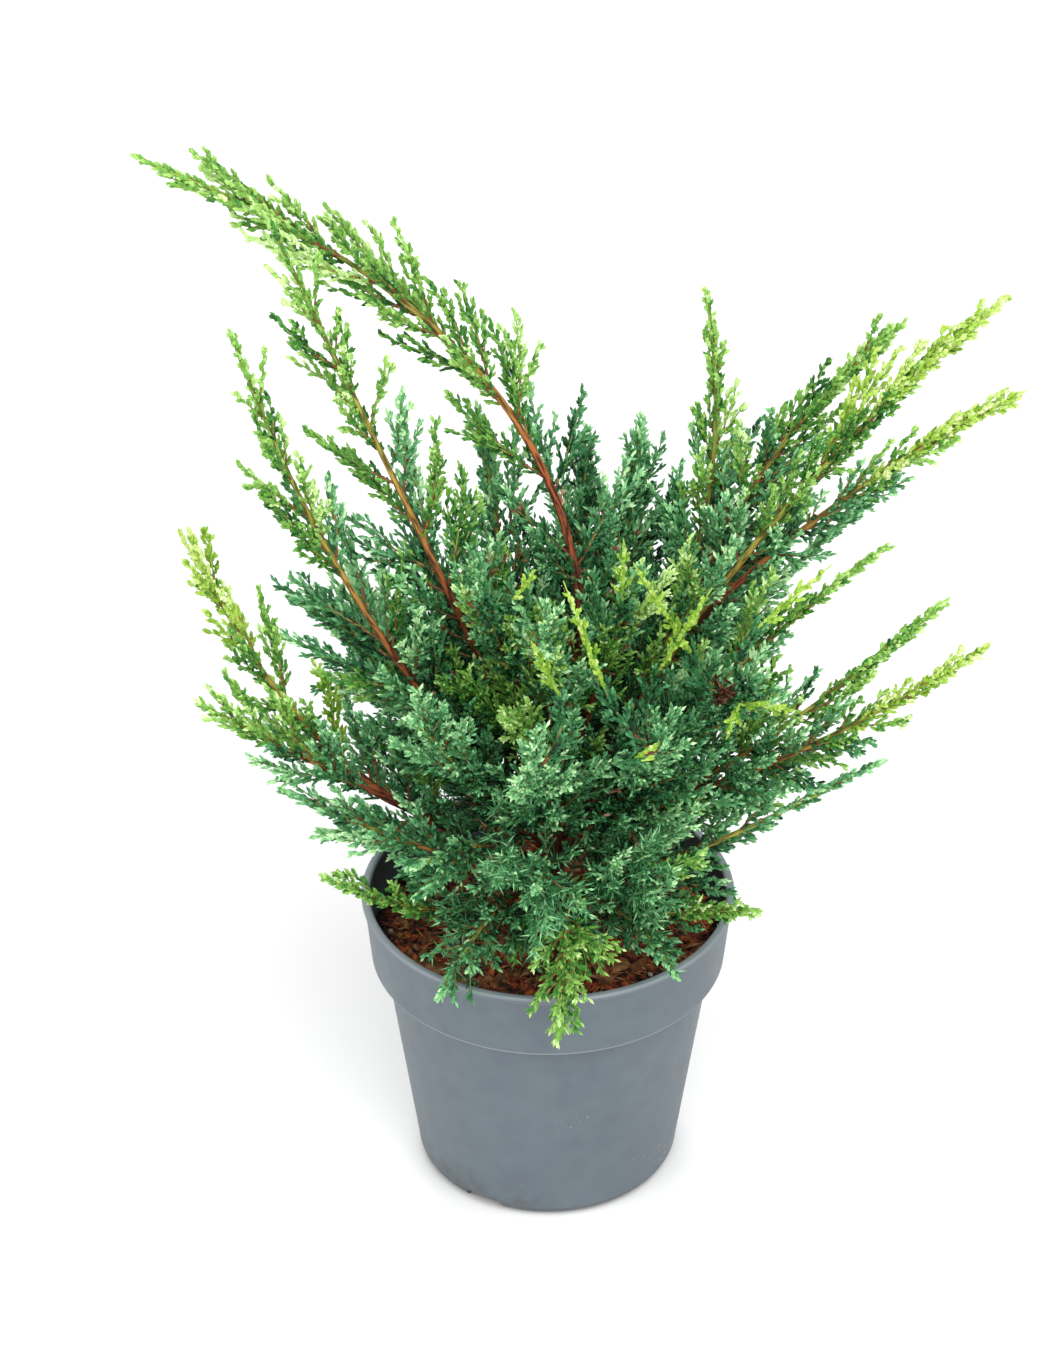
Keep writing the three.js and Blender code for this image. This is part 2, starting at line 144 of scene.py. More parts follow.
def plainMesh(source):
    # what the modifiers of `source` make of it
    evaluated = source.evaluated_get(bpy.context.evaluated_depsgraph_get())
    return bpy.data.meshes.new_from_object(evaluated)


def runNodes(source, tree, values, name):
    # evaluates a Geometry Nodes tree on `source` and keeps the result as a plain mesh
    modifier = source.modifiers.new("nodes", "NODES")
    modifier.node_group = tree
    for item in tree.interface.items_tree:
        if item.in_out == "INPUT" and item.name in values:
            modifier[item.identifier] = values[item.name]
    piece = addObject(name, plainMesh(source))
    piece.data.name = name
    bpy.data.objects.remove(source)
    return piece


def faceOutwards(mesh):
    work = bmesh.new()
    work.from_mesh(mesh)
    bmesh.ops.recalc_face_normals(work, faces=work.faces)
    work.to_mesh(mesh)
    work.free()


def pointValues(mesh, name, values):
    # a number or a vector on every point of a mesh, for its nodes to read
    values = np.asarray(values, np.float32)
    kind, key = ("FLOAT_VECTOR", "vector") if values.ndim > 1 else ("FLOAT", "value")
    mesh.attributes.new(name, kind, "POINT").data.foreach_set(key, values.ravel())


def finishPiece(piece, slot, *nodes):
    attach(piece, "root")
    if nodes:
        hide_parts(*nodes)


print("camera, light and floor")
camera = {"lens": 128, "sensor": 36, "place": (-8, -1856, 1468), "tiltDown": 33.0}
studio = {
    "floorColour": "#f6f6f6", "floorHalf": 6.0, "skyColour": "#ffffff", "skyStrength": 0.47,
    "aim": (0, 0, 0.25),
    "lights": [
        {"name": "keyLight", "place": (0.7, -1.75, 2.35), "size": 2.8, "power": 95},
        {"name": "fillLight", "place": (-1.8, -1.2, 1.5), "size": 1.6, "power": 22},
        {"name": "backLight", "place": (-0.3, 1.7, 2.1), "size": 1.4, "power": 26},
    ],
}

cameraData = bpy.data.cameras.new("camera")
cameraData.lens = camera["lens"]
cameraData.sensor_width = camera["sensor"]
cameraObject = addObject("camera", cameraData)
cameraObject.location = Vector(camera["place"]) * mm
cameraObject.rotation_euler = Euler((math.radians(90 - camera["tiltDown"]), 0, 0))
bpy.context.scene.camera = cameraObject

floorMaterial = startMaterial("paperFloor", studio["floorColour"], 0.9)[0]
half = studio["floorHalf"]
floor = meshObject("floor", [(-half, -half, 0), (half, -half, 0), (half, half, 0), (-half, half, 0)],
                   [(0, 1, 2, 3)], floorMaterial, smooth=False)

world = bpy.data.worlds.new("studio")
world.use_nodes = True
sky = world.node_tree.nodes["Background"]
sky.inputs["Color"].default_value = linearColour(studio["skyColour"])
sky.inputs["Strength"].default_value = studio["skyStrength"]
bpy.context.scene.world = world
bpy.context.scene.view_settings.view_transform = "Standard"

for light in studio["lights"]:
    lightData = bpy.data.lights.new(light["name"], "AREA")
    lightData.size = light["size"]
    lightData.energy = light["power"]
    lamp = addObject(light["name"], lightData)
    lamp.location = light["place"]
    lamp.rotation_euler = (Vector(studio["aim"]) - lamp.location).to_track_quat("-Z", "Y").to_euler()


print("pot")
pot = {
    "height": 148, "rimRadius": 87.5, "lipWidth": 4.2, "lipHeight": 3.2,
    "collarHeight": 36, "collarTopRadius": 86.2, "collarFootRadius": 83.2, "collarRounding": 3.2,
    "bodyTopRadius": 76.9, "bodyFootRadius": 62, "footRounding": 8.7, "wall": 1.7, "floor": 4.6,
    "notches": 3, "notchWidth": 20, "notchDepth": 22, "notchHeight": 6.6, "firstNotch": 240,
    "sides": 144, "plastic": "#525d66", "roughness": 0.5,
}
collarFoot = pot["height"] - pot["collarHeight"]


def arcPoints(radius, height, size, start, end, count):
    angles = np.radians(np.linspace(start, end, count + 1))
    return [(radius + size * math.cos(a), height + size * math.sin(a)) for a in angles]


def innerBodyRadius(height):
    slope = (pot["bodyTopRadius"] - pot["bodyFootRadius"]) / (collarFoot - pot["footRounding"])
    return pot["bodyFootRadius"] + slope * (height - pot["footRounding"]) - pot["wall"]


def ringPoints(radius, height, sides):
    # points round the axis; `height` is a number, or says the height at a place
    points = []
    for j in range(sides):
        angle = fullTurn * j / sides
        x, y = radius * math.cos(angle), radius * math.sin(angle)
        points.append((x * mm, y * mm, (height(x, y) if callable(height) else height) * mm))
    return points


def bandFaces(bands, sides):
    # the faces between rings of points that follow each other
    faces = []
    for a in range(0, bands * sides, sides):
        for j in range(sides):
            k, b = (j + 1) % sides, a + sides
            faces.append((a + j, b + j, b + k, a + k))
    return faces


def closedSkin(name, firstHeight, rings, lastHeight, goesDown=False):
    # a skin over rings of points, from one point on the axis to another
    vertices = [(0, 0, firstHeight * mm), *(p for ring in rings for p in ring), (0, 0, lastHeight * mm)]
    sides, faces = len(rings[0]), []
    last = 1 + (len(rings) - 1) * sides
    for j in range(sides):
        k = (j + 1) % sides
        faces.append((0, 1 + k, 1 + j))
        for a in range(1, last, sides):
            b = a + sides
            faces.append((a + j, a + k, b + k, b + j))
        faces.append((len(vertices) - 1, last + j, last + k))
    if goesDown:
        faces = [(face[0], *reversed(face[1:])) for face in faces]
    return meshObject(name, vertices, faces)


def potProfile():
    # radius and height from the middle of the foot up, over the lip and down inside;
    # extra rings beside each edge keep the smooth shading crisp
    p = pot
    lip = p["lipHeight"] / 2
    lipInner = p["rimRadius"] - p["lipWidth"]
    inner = p["collarFootRadius"] - p["wall"]
    lipFoot, foot = p["height"] - p["lipHeight"], p["footRounding"]
    return [
        (p["bodyFootRadius"] - foot - 1, 0),
        *arcPoints(p["bodyFootRadius"] - foot, foot, foot, -90, 0, 9),
        (innerBodyRadius(40) + p["wall"], 40), (innerBodyRadius(75) + p["wall"], 75),
        (p["bodyTopRadius"] - 0.15, collarFoot - 1.2), (p["bodyTopRadius"], collarFoot - 0.3),
        (p["bodyTopRadius"] + 0.6, collarFoot + 0.05), (p["bodyTopRadius"] + 1.6, collarFoot + 0.1),
        *arcPoints(p["collarFootRadius"] - p["collarRounding"], collarFoot + p["collarRounding"],
                   p["collarRounding"], -90, 0, 7),
        (p["collarTopRadius"] - 0.25, lipFoot - 3), (p["collarTopRadius"] - 0.05, lipFoot - 0.5),
        (p["collarTopRadius"] + 0.1, lipFoot),
        *arcPoints(p["rimRadius"] - lip, p["height"] - lip, lip, -60, 90, 8),
        *arcPoints(lipInner + lip, p["height"] - lip, lip, 90, 180, 6),
        (lipInner + 0.2, lipFoot), (p["collarTopRadius"] - p["wall"], lipFoot - p["wall"]),
        (inner + 0.1, collarFoot + p["wall"] + 1), (inner - 1, collarFoot + p["wall"]),
        (innerBodyRadius(collarFoot) + 0.3, collarFoot + p["wall"]),
        (innerBodyRadius(collarFoot), collarFoot), (innerBodyRadius(p["floor"]), p["floor"]),
    ]


def notchCutter(angle):
    # a flat-topped notch with bevelled upper corners
    w, h, d = pot["notchWidth"] / 2 * mm, pot["notchHeight"] * mm, pot["notchDepth"] / 2 * mm
    outline = [(-w, -h), (w, -h), (w, h * 0.4), (w * 0.86, h), (-w * 0.86, h), (-w, h * 0.4)]
    centre = pot["bodyFootRadius"] * mm
    cos, sin = math.cos(angle), math.sin(angle)
    corners = [(x * cos - y * sin, x * sin + y * cos, z)
               for x in (centre - d, centre + d) for y, z in outline]
    n = len(outline)
    faces = [tuple(reversed(range(n))), tuple(range(n, 2 * n))]
    faces += [(j, (j + 1) % n, n + (j + 1) % n, n + j) for j in range(n)]
    cutter = meshObject("cutter", corners, faces, smooth=False)
    faceOutwards(cutter.data)
    return cutter


def makePot():
    rings = [ringPoints(radius, height, pot["sides"]) for radius, height in potProfile()]
    shell = closedSkin("potShell", 0, rings, pot["floor"])
    for i in range(pot["notches"]):
        cut = shell.modifiers.new("cut", "BOOLEAN")
        cut.operation = "DIFFERENCE"
        cut.solver = "EXACT"
        cut.object = notchCutter(math.radians(pot["firstNotch"] + 360 / pot["notches"] * i))
    piece = addObject("nurseryPot", plainMesh(shell))
    for used in [modifier.object for modifier in shell.modifiers] + [shell]:
        bpy.data.objects.remove(used)
    piece.data.shade_smooth()
    return piece


def potMaterial():
    # injection moulded polypropylene: a soft satin sheen, clouded pigment, pale painted highlights along the
    # edges, a few specks of dust, dirt low down, and painted shade darkening the foot towards the floor
    material, tree, shader = startMaterial("mouldedPolypropylene", pot["plastic"], pot["roughness"], 1.49)
    where = addNode(tree, "ShaderNodeTexCoord").outputs["Object"]
    place = addNode(tree, "ShaderNodeSeparateXYZ", {0: where}).outputs
    mottle, cloudy = objectPattern(tree, 11, 8.0), objectPattern(tree, 34, 5.0, (1, 1, 0.5))
    # what fades from one place to another: its value, the two ends in metres, the strength at each
    fades = {"low": (place["Z"], 0.05, 0.0, 0.0, 0.8), "leftward": (place["X"], 0.03, -0.05, 0.55, 1.25),
             # under: painted shade, darkening the lowest few millimetres of the foot towards the floor
             "under": (place["Z"], 0.0065, 0.0015, 0.0, 0.8)}
    # the height of each edge that gets a painted highlight, and how far the highlight spreads
    edges = {"lip": (pot["height"] - 0.4, 1.5), "ledge": (collarFoot + 1.2, 1.3),
             "underLip": (pot["height"] - pot["lipHeight"], 0.5)}
    for edge, (height, spread) in edges.items():
        away = addNode(tree, "ShaderNodeMath", {0: place["Z"], 1: height * mm}, operation="SUBTRACT")
        near = addNode(tree, "ShaderNodeMath", {0: away.outputs[0]}, operation="ABSOLUTE")
        fades[edge] = (near.outputs[0], 0.0, spread * mm, 0.6, 0.0)
    for name, (value, *ends) in fades.items():
        span = dict(zip(("From Min", "From Max", "To Min", "To Max"), ends))
        fades[name] = addNode(tree, "ShaderNodeMapRange", {"Value": value, **span}).outputs["Result"]
    # dirt gathers low down and towards the left, dust in scattered specks
    lowLeft = addNode(tree, "ShaderNodeMath", {0: fades["low"], 1: fades["leftward"]}, operation="MULTIPLY")
    dirt = addNode(tree, "ShaderNodeMath", {
        0: lowLeft.outputs[0], 1: objectPattern(tree, 7, 9.0)}, operation="MULTIPLY")
    dust = addNode(tree, "ShaderNodeMath", {
        0: objectPattern(tree, 1.6, 1.0), 1: objectPattern(tree, 40, 2.0)}, operation="MULTIPLY")
    # what lies over the mottled pigment, from the skin outwards: its share, the ramp of that, its colour
    layers = [(cloudy, [(0.46, "#000000"), (0.72, "#4a4a4a")], "#67716f"),
              # pale painted highlights along the top of the lip, under the lip and on the ledge
              *((fades[edge], None, "#a3abb1") for edge in edges),
              (dirt.outputs[0], [(0.26, "#000000"), (0.5, "#d0d0d0")], "#3f433f"),
              # painted shade: a dark band round the bottom of the foot
              (fades["under"], None, "#2f3437"),
              (dust.outputs[0], [(0.455, "#000000"), (0.49, "#b0b0b0")], "#a9b0b2")]
    pigment = [(0.3, "#57616a"), (0.5, "#5a656d"), (0.7, "#5e6971")]
    colour = addNode(tree, "ShaderNodeValToRGB", {0: mottle}, pigment).outputs["Color"]
    for share, stops, over in layers:
        if stops:
            share = addNode(tree, "ShaderNodeValToRGB", {0: share}, stops).outputs["Color"]
        colour = addNode(tree, "ShaderNodeMix", {
            "Factor": share, "A": colour, "B": linearColour(over)}, data_type="RGBA").outputs["Result"]
    dressShader(tree, shader, colour, objectPattern(tree, 0.8), 0.12, 0.06)
    rough = addNode(tree, "ShaderNodeMapRange", {"Value": cloudy, "To Min": 0.36, "To Max": 0.62})
    tree.links.new(rough.outputs["Result"], shader.inputs["Roughness"])
    return material


potPiece = makePot()
potPiece.data.materials.clear()
potPiece.data.materials.append(potMaterial())
finishPiece(potPiece, "pot_plastic", "pot")


print("potting mix")
mix = {
    "level": 128, "edgeDrop": 2.5, "gap": 0.6, "grid": 1.6, "sides": 160, "sunk": 0.6,
    "lumpSize": 14, "lumpHeight": 2.6, "crumbSize": 5, "crumbHeight": 0.9,
    "calmTo": 12, "calmFade": 10, "leastLumps": 0.15, "stemClear": 8, "steepest": 0.3,
    "skin": ("compostedBark", "#0b0503", "#22110a", "#45220f"),
    "chips": [
        {"name": "barkCrumbs", "size": (4.5, 3.2, 2.2), "bend": 0.3, "count": 3200, "tilt": 0.8,
         "smallest": 0.35, "seed": 5, "lift": 0.3,
         "skin": ("moistBarkCrumb", "#0e0503", "#38160a", "#703412")},
        {"name": "barkSlivers", "size": (12, 2.9, 1.1), "bend": 0.6, "count": 2300, "tilt": 0.5,
         "smallest": 0.3, "seed": 6, "lift": 0.8, "skin": ("tornPineBark", "#2c0d06", "#7d3316", "#bf6c35")},
        {"name": "barkSlabs", "size": (17, 5.6, 1.7), "bend": 0.7, "count": 560, "tilt": 0.42,
         "smallest": 0.35, "seed": 9, "lift": 1.2,
         "skin": ("weatheredBark", "#2b170b", "#6e4726", "#a87e52", 8)},
        {"name": "coirFibres", "size": (14, 0.55, 0.45), "bend": 1.4, "count": 750, "tilt": 0.4,
         "smallest": 0.3, "seed": 7, "lift": 1.2, "skin": ("dryCoirFibre", "#7a4420", "#b0713a", "#d8ab76")},
        {"name": "paleGrit", "size": (3.2, 2.8, 2.4), "bend": 0.1, "count": 60, "tilt": 0.8,
         "smallest": 0.4, "seed": 8, "lift": 1.2, "skin": ("paleGrit", "#9a958a", "#c9c4b6", "#e4e0d4")},
    ],
}
mixRadius = pot["collarFootRadius"] - pot["wall"] - mix["gap"]


def mixHeight(x, y):
    # the lumps die out round the foot of the stem
    radius = math.hypot(x, y)
    base = mix["level"] - mix["edgeDrop"] * (radius / mixRadius) ** 2
    lump = (noise.noise(Vector((x / mix["lumpSize"], y / mix["lumpSize"], 3.1))) * mix["lumpHeight"]
            + noise.noise(Vector((x / mix["crumbSize"], y / mix["crumbSize"], 9.7))) * mix["crumbHeight"])
    share = min(1, max(mix["leastLumps"], (radius - mix["calmTo"]) / mix["calmFade"]))
    return base + lump * share - mix["sunk"]


def makeMixBody():
    count = int(mixRadius / mix["grid"])
    ledge, gap = collarFoot + pot["wall"] + mix["gap"], mix["gap"]
    profile = [(mixRadius * i / count, mixHeight) for i in range(1, count + 1)]
    profile += [(mixRadius, ledge), (innerBodyRadius(ledge) - gap, ledge),
                (innerBodyRadius(pot["floor"]) - gap, pot["floor"] + gap)]
    rings = [ringPoints(radius, height, mix["sides"]) for radius, height in profile]
    return closedSkin("pottingMix", mixHeight(0, 0), rings, pot["floor"] + gap, goesDown=True)


def barkMixMaterial(name, dark, middle, light, grainSize=5):
    # composted bark and coir: dry torn fibres over moist dark crumbs
    material, tree, shader = startMaterial(name, middle, 0.95)
    ramp = addNode(tree, "ShaderNodeValToRGB", {0: objectPattern(tree, grainSize, 7.0)},
                   [(0.36, dark), (0.52, middle), (0.68, light)])
    dressShader(tree, shader, ramp.outputs["Color"], objectPattern(tree, 0.8), 0.7, 0.5)
    return material


def chipMesh(length, width, thickness, bend, material):
    # a torn splinter of bark: a bent strip whose ends run out unevenly
    rings = [(-0.5, 0.25), (-0.3, 0.85), (0.05, 1.0), (0.33, 0.7), (0.5, 0.2)]
    vertices = []
    for place, share in rings:
        lift = bend * (1 - (2 * place) ** 2)
        for y, z in ((-0.5, 0), (0.1, 0.5), (0.5, 0.1), (0, -0.5)):
            point = (place * length, y * width * share, z * thickness * share + lift)
            vertices.append(np.array(point) * mm)
    faces = [*bandFaces(len(rings) - 1, 4), (0, 1, 2, 3), (19, 18, 17, 16)]
    return meshObject("chip", vertices, faces, material, smooth=False)


def strewTree():
    # strews one object over a surface, lying flat but for a random tilt
    tree, given = startTree("strewOverSurface", {
        "Piece": "Object", "Count per square metre": "Float", "Tilt": "Float", "Smallest": "Float",
        "Seed": "Int"})
    points = addNode(tree, "GeometryNodeDistributePointsOnFaces", {
        "Mesh": given["Geometry"], "Density": given["Count per square metre"], "Seed": given["Seed"]})
    away = addNode(tree, "ShaderNodeMath", {0: given["Tilt"], 1: -1.0}, operation="MULTIPLY").outputs[0]
    low = addNode(tree, "ShaderNodeCombineXYZ", {"X": away, "Y": away, "Z": 0.0})
    high = addNode(tree, "ShaderNodeCombineXYZ", {"X": given["Tilt"], "Y": given["Tilt"], "Z": fullTurn})
    turn = addNode(tree, "FunctionNodeRandomValue", {
        "Min": low.outputs[0], "Max": high.outputs[0], "Seed": given["Seed"]}, data_type="FLOAT_VECTOR")
    seed = addNode(tree, "ShaderNodeMath", {0: given["Seed"], 1: 7.0}, operation="ADD").outputs[0]
    size = addNode(tree, "FunctionNodeRandomValue", {
        2: given["Smallest"], 3: 1.0, "Seed": seed}, data_type="FLOAT")
    source = addNode(tree, "GeometryNodeObjectInfo", {"Object": given["Piece"]}, transform_space="ORIGINAL")
    placed = addNode(tree, "GeometryNodeInstanceOnPoints", {
        "Points": points.outputs["Points"], "Instance": source.outputs["Geometry"],
        "Rotation": turn.outputs["Value"], "Scale": size.outputs[1]})
    return endTree(tree, placed.outputs["Instances"], given["Material"])


def strewnOver(surface, tree, chip):
    # only the open top of the mix is strewn, far enough inside for a chip to clear the pot's wall
    material = barkMixMaterial(*chip["skin"])
    piece = chipMesh(*chip["size"], chip["bend"], material)
    ground = addObject("ground", surface.data.copy())
    top = bmesh.new()
    top.from_mesh(ground.data)
    reach = (mixRadius + 1) * mm - max(v.co.x for v in piece.data.vertices)
    outside = [f for f in top.faces if f.normal.z < mix["steepest"]
               or not mix["stemClear"] * mm <= f.calc_center_median().xy.length <= reach]
    bmesh.ops.delete(top, geom=outside, context="FACES")
    bmesh.ops.translate(top, verts=top.verts, vec=(0, 0, chip["lift"] * mm))
    top.to_mesh(ground.data)
    top.free()
    density = chip["count"] / (math.pi * reach ** 2)
    made = runNodes(ground, tree, {
        "Piece": piece, "Material": material, "Count per square metre": density, "Tilt": chip["tilt"],
        "Smallest": chip["smallest"], "Seed": chip["seed"]}, chip["name"])
    bpy.data.objects.remove(piece)
    finishPiece(made, "bark_mix")


mixBody = makeMixBody()
mixBody.data.materials.append(barkMixMaterial(*mix["skin"]))
finishPiece(mixBody, "bark_mix", "potting_mix")
strewOverSurface = strewTree()
for chip in mix["chips"]:
    strewnOver(mixBody, strewOverSurface, chip)


print("shoots")
stem = {"foot": (0, 0, 128.3), "top": (5, -3, 206), "flareRadius": 11, "flareHeight": 16,
        "footRadius": 7.2, "topRadius": 4.6}
# how a shoot grows: where its bare foot ends, how far its plumes reach and how they stand; hidden is the
# share of the bare foot that carries no plume, barkShows the stretch whose bark shows from the front
anyShoot = {"bare": 0.3, "reach": 42, "green": "blue", "wideAngle": 46, "closeAngle": 18, "lift": 0.12,
            "reachShare": 1.0, "uneven": 0.2, "hidden": 0.8, "tone": (0.65, 0.3), "greener": 0.1,
            "bushyFoot": 0.0, "droop": 0.0, "needled": False, "barkShows": (1, 1)}
# limbs are the long boughs, light shoots stand singly between them, dense ones fill the heart of the
# crown, and rim ones hang low over the pot
kinds = {
    "limb": {"bare": 0.38, "reach": 48, "green": "fresh", "spacing": 8.4, "profile": (1, 0.9, 0.55, 0.35),
             "lift": 0.06, "stray": 0.0, "slimness": 1.0, "uneven": 0.12, "hidden": 0.45, "tone": (0.4, 0.8),
             "axisFrom": 0.66, "greener": 0.3},
    "light": {"spacing": 5.2, "profile": (1, 0.95, 0.75, 0.45), "stray": 0.08, "slimness": 0.7,
              "axisFrom": 0.4},
    "dense": {"bare": 0.26, "reach": 50, "spacing": 4.7, "wideAngle": 52, "closeAngle": 20,
              "profile": (1, 0.95, 0.75, 0.4), "lift": 0.62, "stray": 0.24, "slimness": 0.2, "uneven": 0.5,
              "axisFrom": 0.15},
    "rim": {"spacing": 4.4, "wideAngle": 48, "closeAngle": 20, "profile": (1, 0.95, 0.75, 0.5), "stray": 0.1,
            "reachShare": 0.68, "slimness": 0.4, "hidden": 1.0, "tone": (0.3, 0.2), "axisFrom": 0.3},
}
whip = {"bushyFoot": 1.0, "wideAngle": 54, "closeAngle": 12, "slimness": 0.9, "hidden": 0.2, "spacing": 7.5,
        "profile": (0.95, 0.8, 0.36, 0.28), "lift": 0.16}
crownTop = {"bare": 0.4, "spacing": 3.6, "slimness": 0.15, "wideAngle": 38, "closeAngle": 16,
            "reachShare": 1.15, "hidden": 0.5}
backRim = {"reachShare": 1.0, "spacing": 3.2, "wideAngle": 60, "slimness": 0.2, "closeAngle": 34,
           "needled": True}
# each shoot: name, where it leaves the stem or another shoot, a point on its way, its tip, and how it
# differs from its kind
limbs = [
    ("left_leader", 0.94, (12, 20, 311), (-177, 45, 505),
     {"bare": 0.3, "reach": 58, "closeAngle": 24, "spacing": 7.6, "profile": (1, 0.95, 0.86, 0.62),
      "hidden": 0.6, "barkShows": (0.28, 0.48)}),
    ("left_second", 0.8, (-49, 0, 321), (-121, 20, 487),
     {"closeAngle": 38, "spacing": 7.5, "profile": (1.15, 1, 0.75, 0.4), "bushyFoot": 1.0, "hidden": 0.35,
      "barkShows": (0.37, 0.55)}),
    ("left_third", 0.66, (-65, -10, 276), (-137, -5, 444),
     {"closeAngle": 28, "spacing": 6.6, "profile": (1.25, 1, 0.6, 0.35), "bushyFoot": 1.0, "hidden": 0.25,
      "barkShows": (0.4, 0.58)}),
    ("left_low", 0.4, (-63, -20, 206), (-157, -36, 362),
     {"bare": 0.34, "green": "lime", "closeAngle": 22, "spacing": 8.2, "profile": (1.1, 0.75, 0.8, 0.65),
      "bushyFoot": 1.0, "barkShows": (0.28, 0.5)}),
    ("left_back", 0.78, (-18, 30, 294), (-32, 62, 369),
     {"reach": 40, "green": "blue", "reachShare": 1.25, "spacing": 5, "bushyFoot": 1.0, "slimness": 0.6,
      "barkShows": (0.55, 0.68)}),
    ("upright", 0.9, (66, 26, 312), (70, 50, 436),
     {"bare": 0.42, "closeAngle": 22, "wideAngle": 40, "slimness": 0.9, "spacing": 6.5, "bushyFoot": 1.0,
      "profile": (1, 0.95, 0.5, 0.25)}),
    ("right_leader", 0.34, (33, -5, 238), (197, 10, 455),
     {**whip, "bare": 0.46, "green": "lime", "hidden": 0.45, "profile": (0.85, 0.8, 0.75, 0.6),
      "spacing": 5.8, "barkShows": (0.49, 0.54)}),
    ("right_front", 0.6, (82, -24, 284), (146, -30, 352), whip),
    ("right_behind", 0.7, (80, 28, 270), (143, 34, 337), {**whip, "green": "blue"}),
    ("right_low", 0.46, (92, -26, 244), (174, -28, 322),
     {**whip, "spacing": 6.4, "profile": (1.1, 0.7, 0.5, 0.36)}),
    ("right_side", 0.2, (74, -38, 200), (146, -50, 252),
     {**whip, "bare": 0.3, "green": "blue", "spacing": 8.5, "profile": (0.95, 0.6, 0.32, 0.28)}),
    ("back_left", 0.6, (-58, 34, 232), (-118, 62, 268),
     {"bare": 0.3, "green": "blue", "bushyFoot": 1.0, "slimness": 0.6, "reachShare": 1.4, "spacing": 5.5,
      "lift": 0.4}),
    ("back_right", 0.4, (60, 50, 220), (108, 98, 268), {"bare": 0.3, "green": "blue"}),
]
lightShoots = [
    ("left_side", 0.3, (-108, -44, 250), (-153, -52, 284),
     {"from": "left_low", "bare": 0.25, "green": "fresh", "closeAngle": 30, "spacing": 6.2, "lift": 0.5,
      "reachShare": 1.1}),
    ("left_inner", 0.3, (-62, -45, 205), (-117, -50, 236),
     {"reach": 48, "closeAngle": 28, "spacing": 5.5, "lift": 0.2, "reachShare": 0.85}),
    ("left_rim", 0.16, (-48, -42, 165), (-99, -72, 204), {"green": "fresh", "lift": 0.5, "reachShare": 0.6}),
    ("top_back", 0.86, (12, 42, 275), (16, 78, 345), crownTop),
    ("top_right_back", 0.98, (30, 30, 290), (42, 60, 363), crownTop),
    ("right_second", 0.38, (98, 22, 365), (154, 24, 434),
     {**whip, "from": "right_leader", "green": "fresh", "spacing": 5.5, "profile": (0.9, 0.9, 0.75, 0.55)}),
    ("right_third", 0.42, (124, -6, 358), (203, -8, 417),
     {**whip, "from": "right_leader", "green": "lime", "spacing": 5.2, "profile": (0.68, 0.7, 0.75, 0.6),
      "bushyFoot": 0.3}),
    ("right_lower", 0.32, (128, -44, 264), (190, -52, 314),
     {**whip, "from": "right_low", "green": "lime", "spacing": 5.4, "profile": (0.7, 0.62, 0.5, 0.36)}),
    ("right_rim", 0.12, (48, -40, 163), (92, -68, 184), {"reach": 38, "green": "fresh"}),
    ("front_rim", 0.1, (8, -68, 180), (4, -119, 152),
     {"reach": 38, "green": "fresh", "reachShare": 0.9, "closeAngle": 34, "wideAngle": 62, "spacing": 2.8,
      "slimness": 0.1, "droop": 0.5}),
    ("front_left_rim", 0.14, (-24, -54, 174), (-48, -98, 161),
     {"reachShare": 0.8, "slimness": 0.1, "spacing": 3.2, "closeAngle": 40, "wideAngle": 62, "droop": 0.6,
      "needled": True}),
    ("front_right_rim", 0.08, (36, -56, 172), (56, -96, 170),
     {"reachShare": 0.7, "lift": 0.2, "wideAngle": 60, "needled": True}),
    ("back_rim_left", 0.2, (-38, 44, 170), (-84, 74, 190), backRim),
    ("back_rim_right", 0.24, (22, 54, 174), (30, 108, 192), backRim),
]
denseShoots = [
    ("front_low_left", 0.34, (-32, -52, 208), (-58, -90, 224),
     {"lift": -0.12, "droop": 0.9, "reachShare": 0.85, "needled": True}),
    ("front_low", 0.26, (-2, -70, 208), (-6, -122, 234), {"lift": -0.3, "droop": 1.0, "needled": True}),
    ("front_low_right", 0.3, (36, -66, 204), (54, -108, 228), {"lift": -0.05, "droop": 0.3, "needled": True}),
    ("mid_left", 0.5, (-38, -48, 246), (-60, -76, 292), {"reachShare": 1.1}),
    ("mid_front", 0.44, (-2, -70, 250), (-8, -122, 300), {}),
    ("mid_front_right", 0.5, (40, -60, 250), (50, -106, 300), {}),
    ("mid_right", 0.64, (62, -48, 262), (102, -62, 296), {"reachShare": 1.2, "spacing": 4.2}),
    ("top_left", 0.72, (-20, -24, 290), (-40, -42, 338),
     {"green": "fresh", "reachShare": 1.4, "lift": 0.8, "spacing": 3.8}),
    ("top_front", 0.74, (0, -46, 292), (-2, -80, 345), {"green": "fresh", "lift": 0.5}),
    ("top_middle", 0.86, (28, -28, 300), (40, -52, 358), {"green": "fresh", "lift": 0.4, "reachShare": 1.1}),
    ("top_right", 0.8, (56, -10, 296), (80, -30, 350), {"green": "fresh", "lift": 0.4, "reachShare": 1.1}),
    ("back_left_mid", 0.5, (-30, 62, 226), (-56, 122, 260), {"lift": 0.0, "droop": 0.4}),
    ("back_right_mid", 0.56, (20, 68, 226), (30, 138, 266), {"lift": 0.0, "droop": 0.4}),
]
shoots = []
for group, rows in (("limb", limbs), ("light", lightShoots), ("dense", denseShoots)):
    for name, at, via, tip, differences in rows:
        kind = "rim" if "rim" in name else group
        shoots.append({"kind": kind, "name": name, "at": at, "via": via, "tip": tip,
                       **anyShoot, **kinds[kind], **differences})

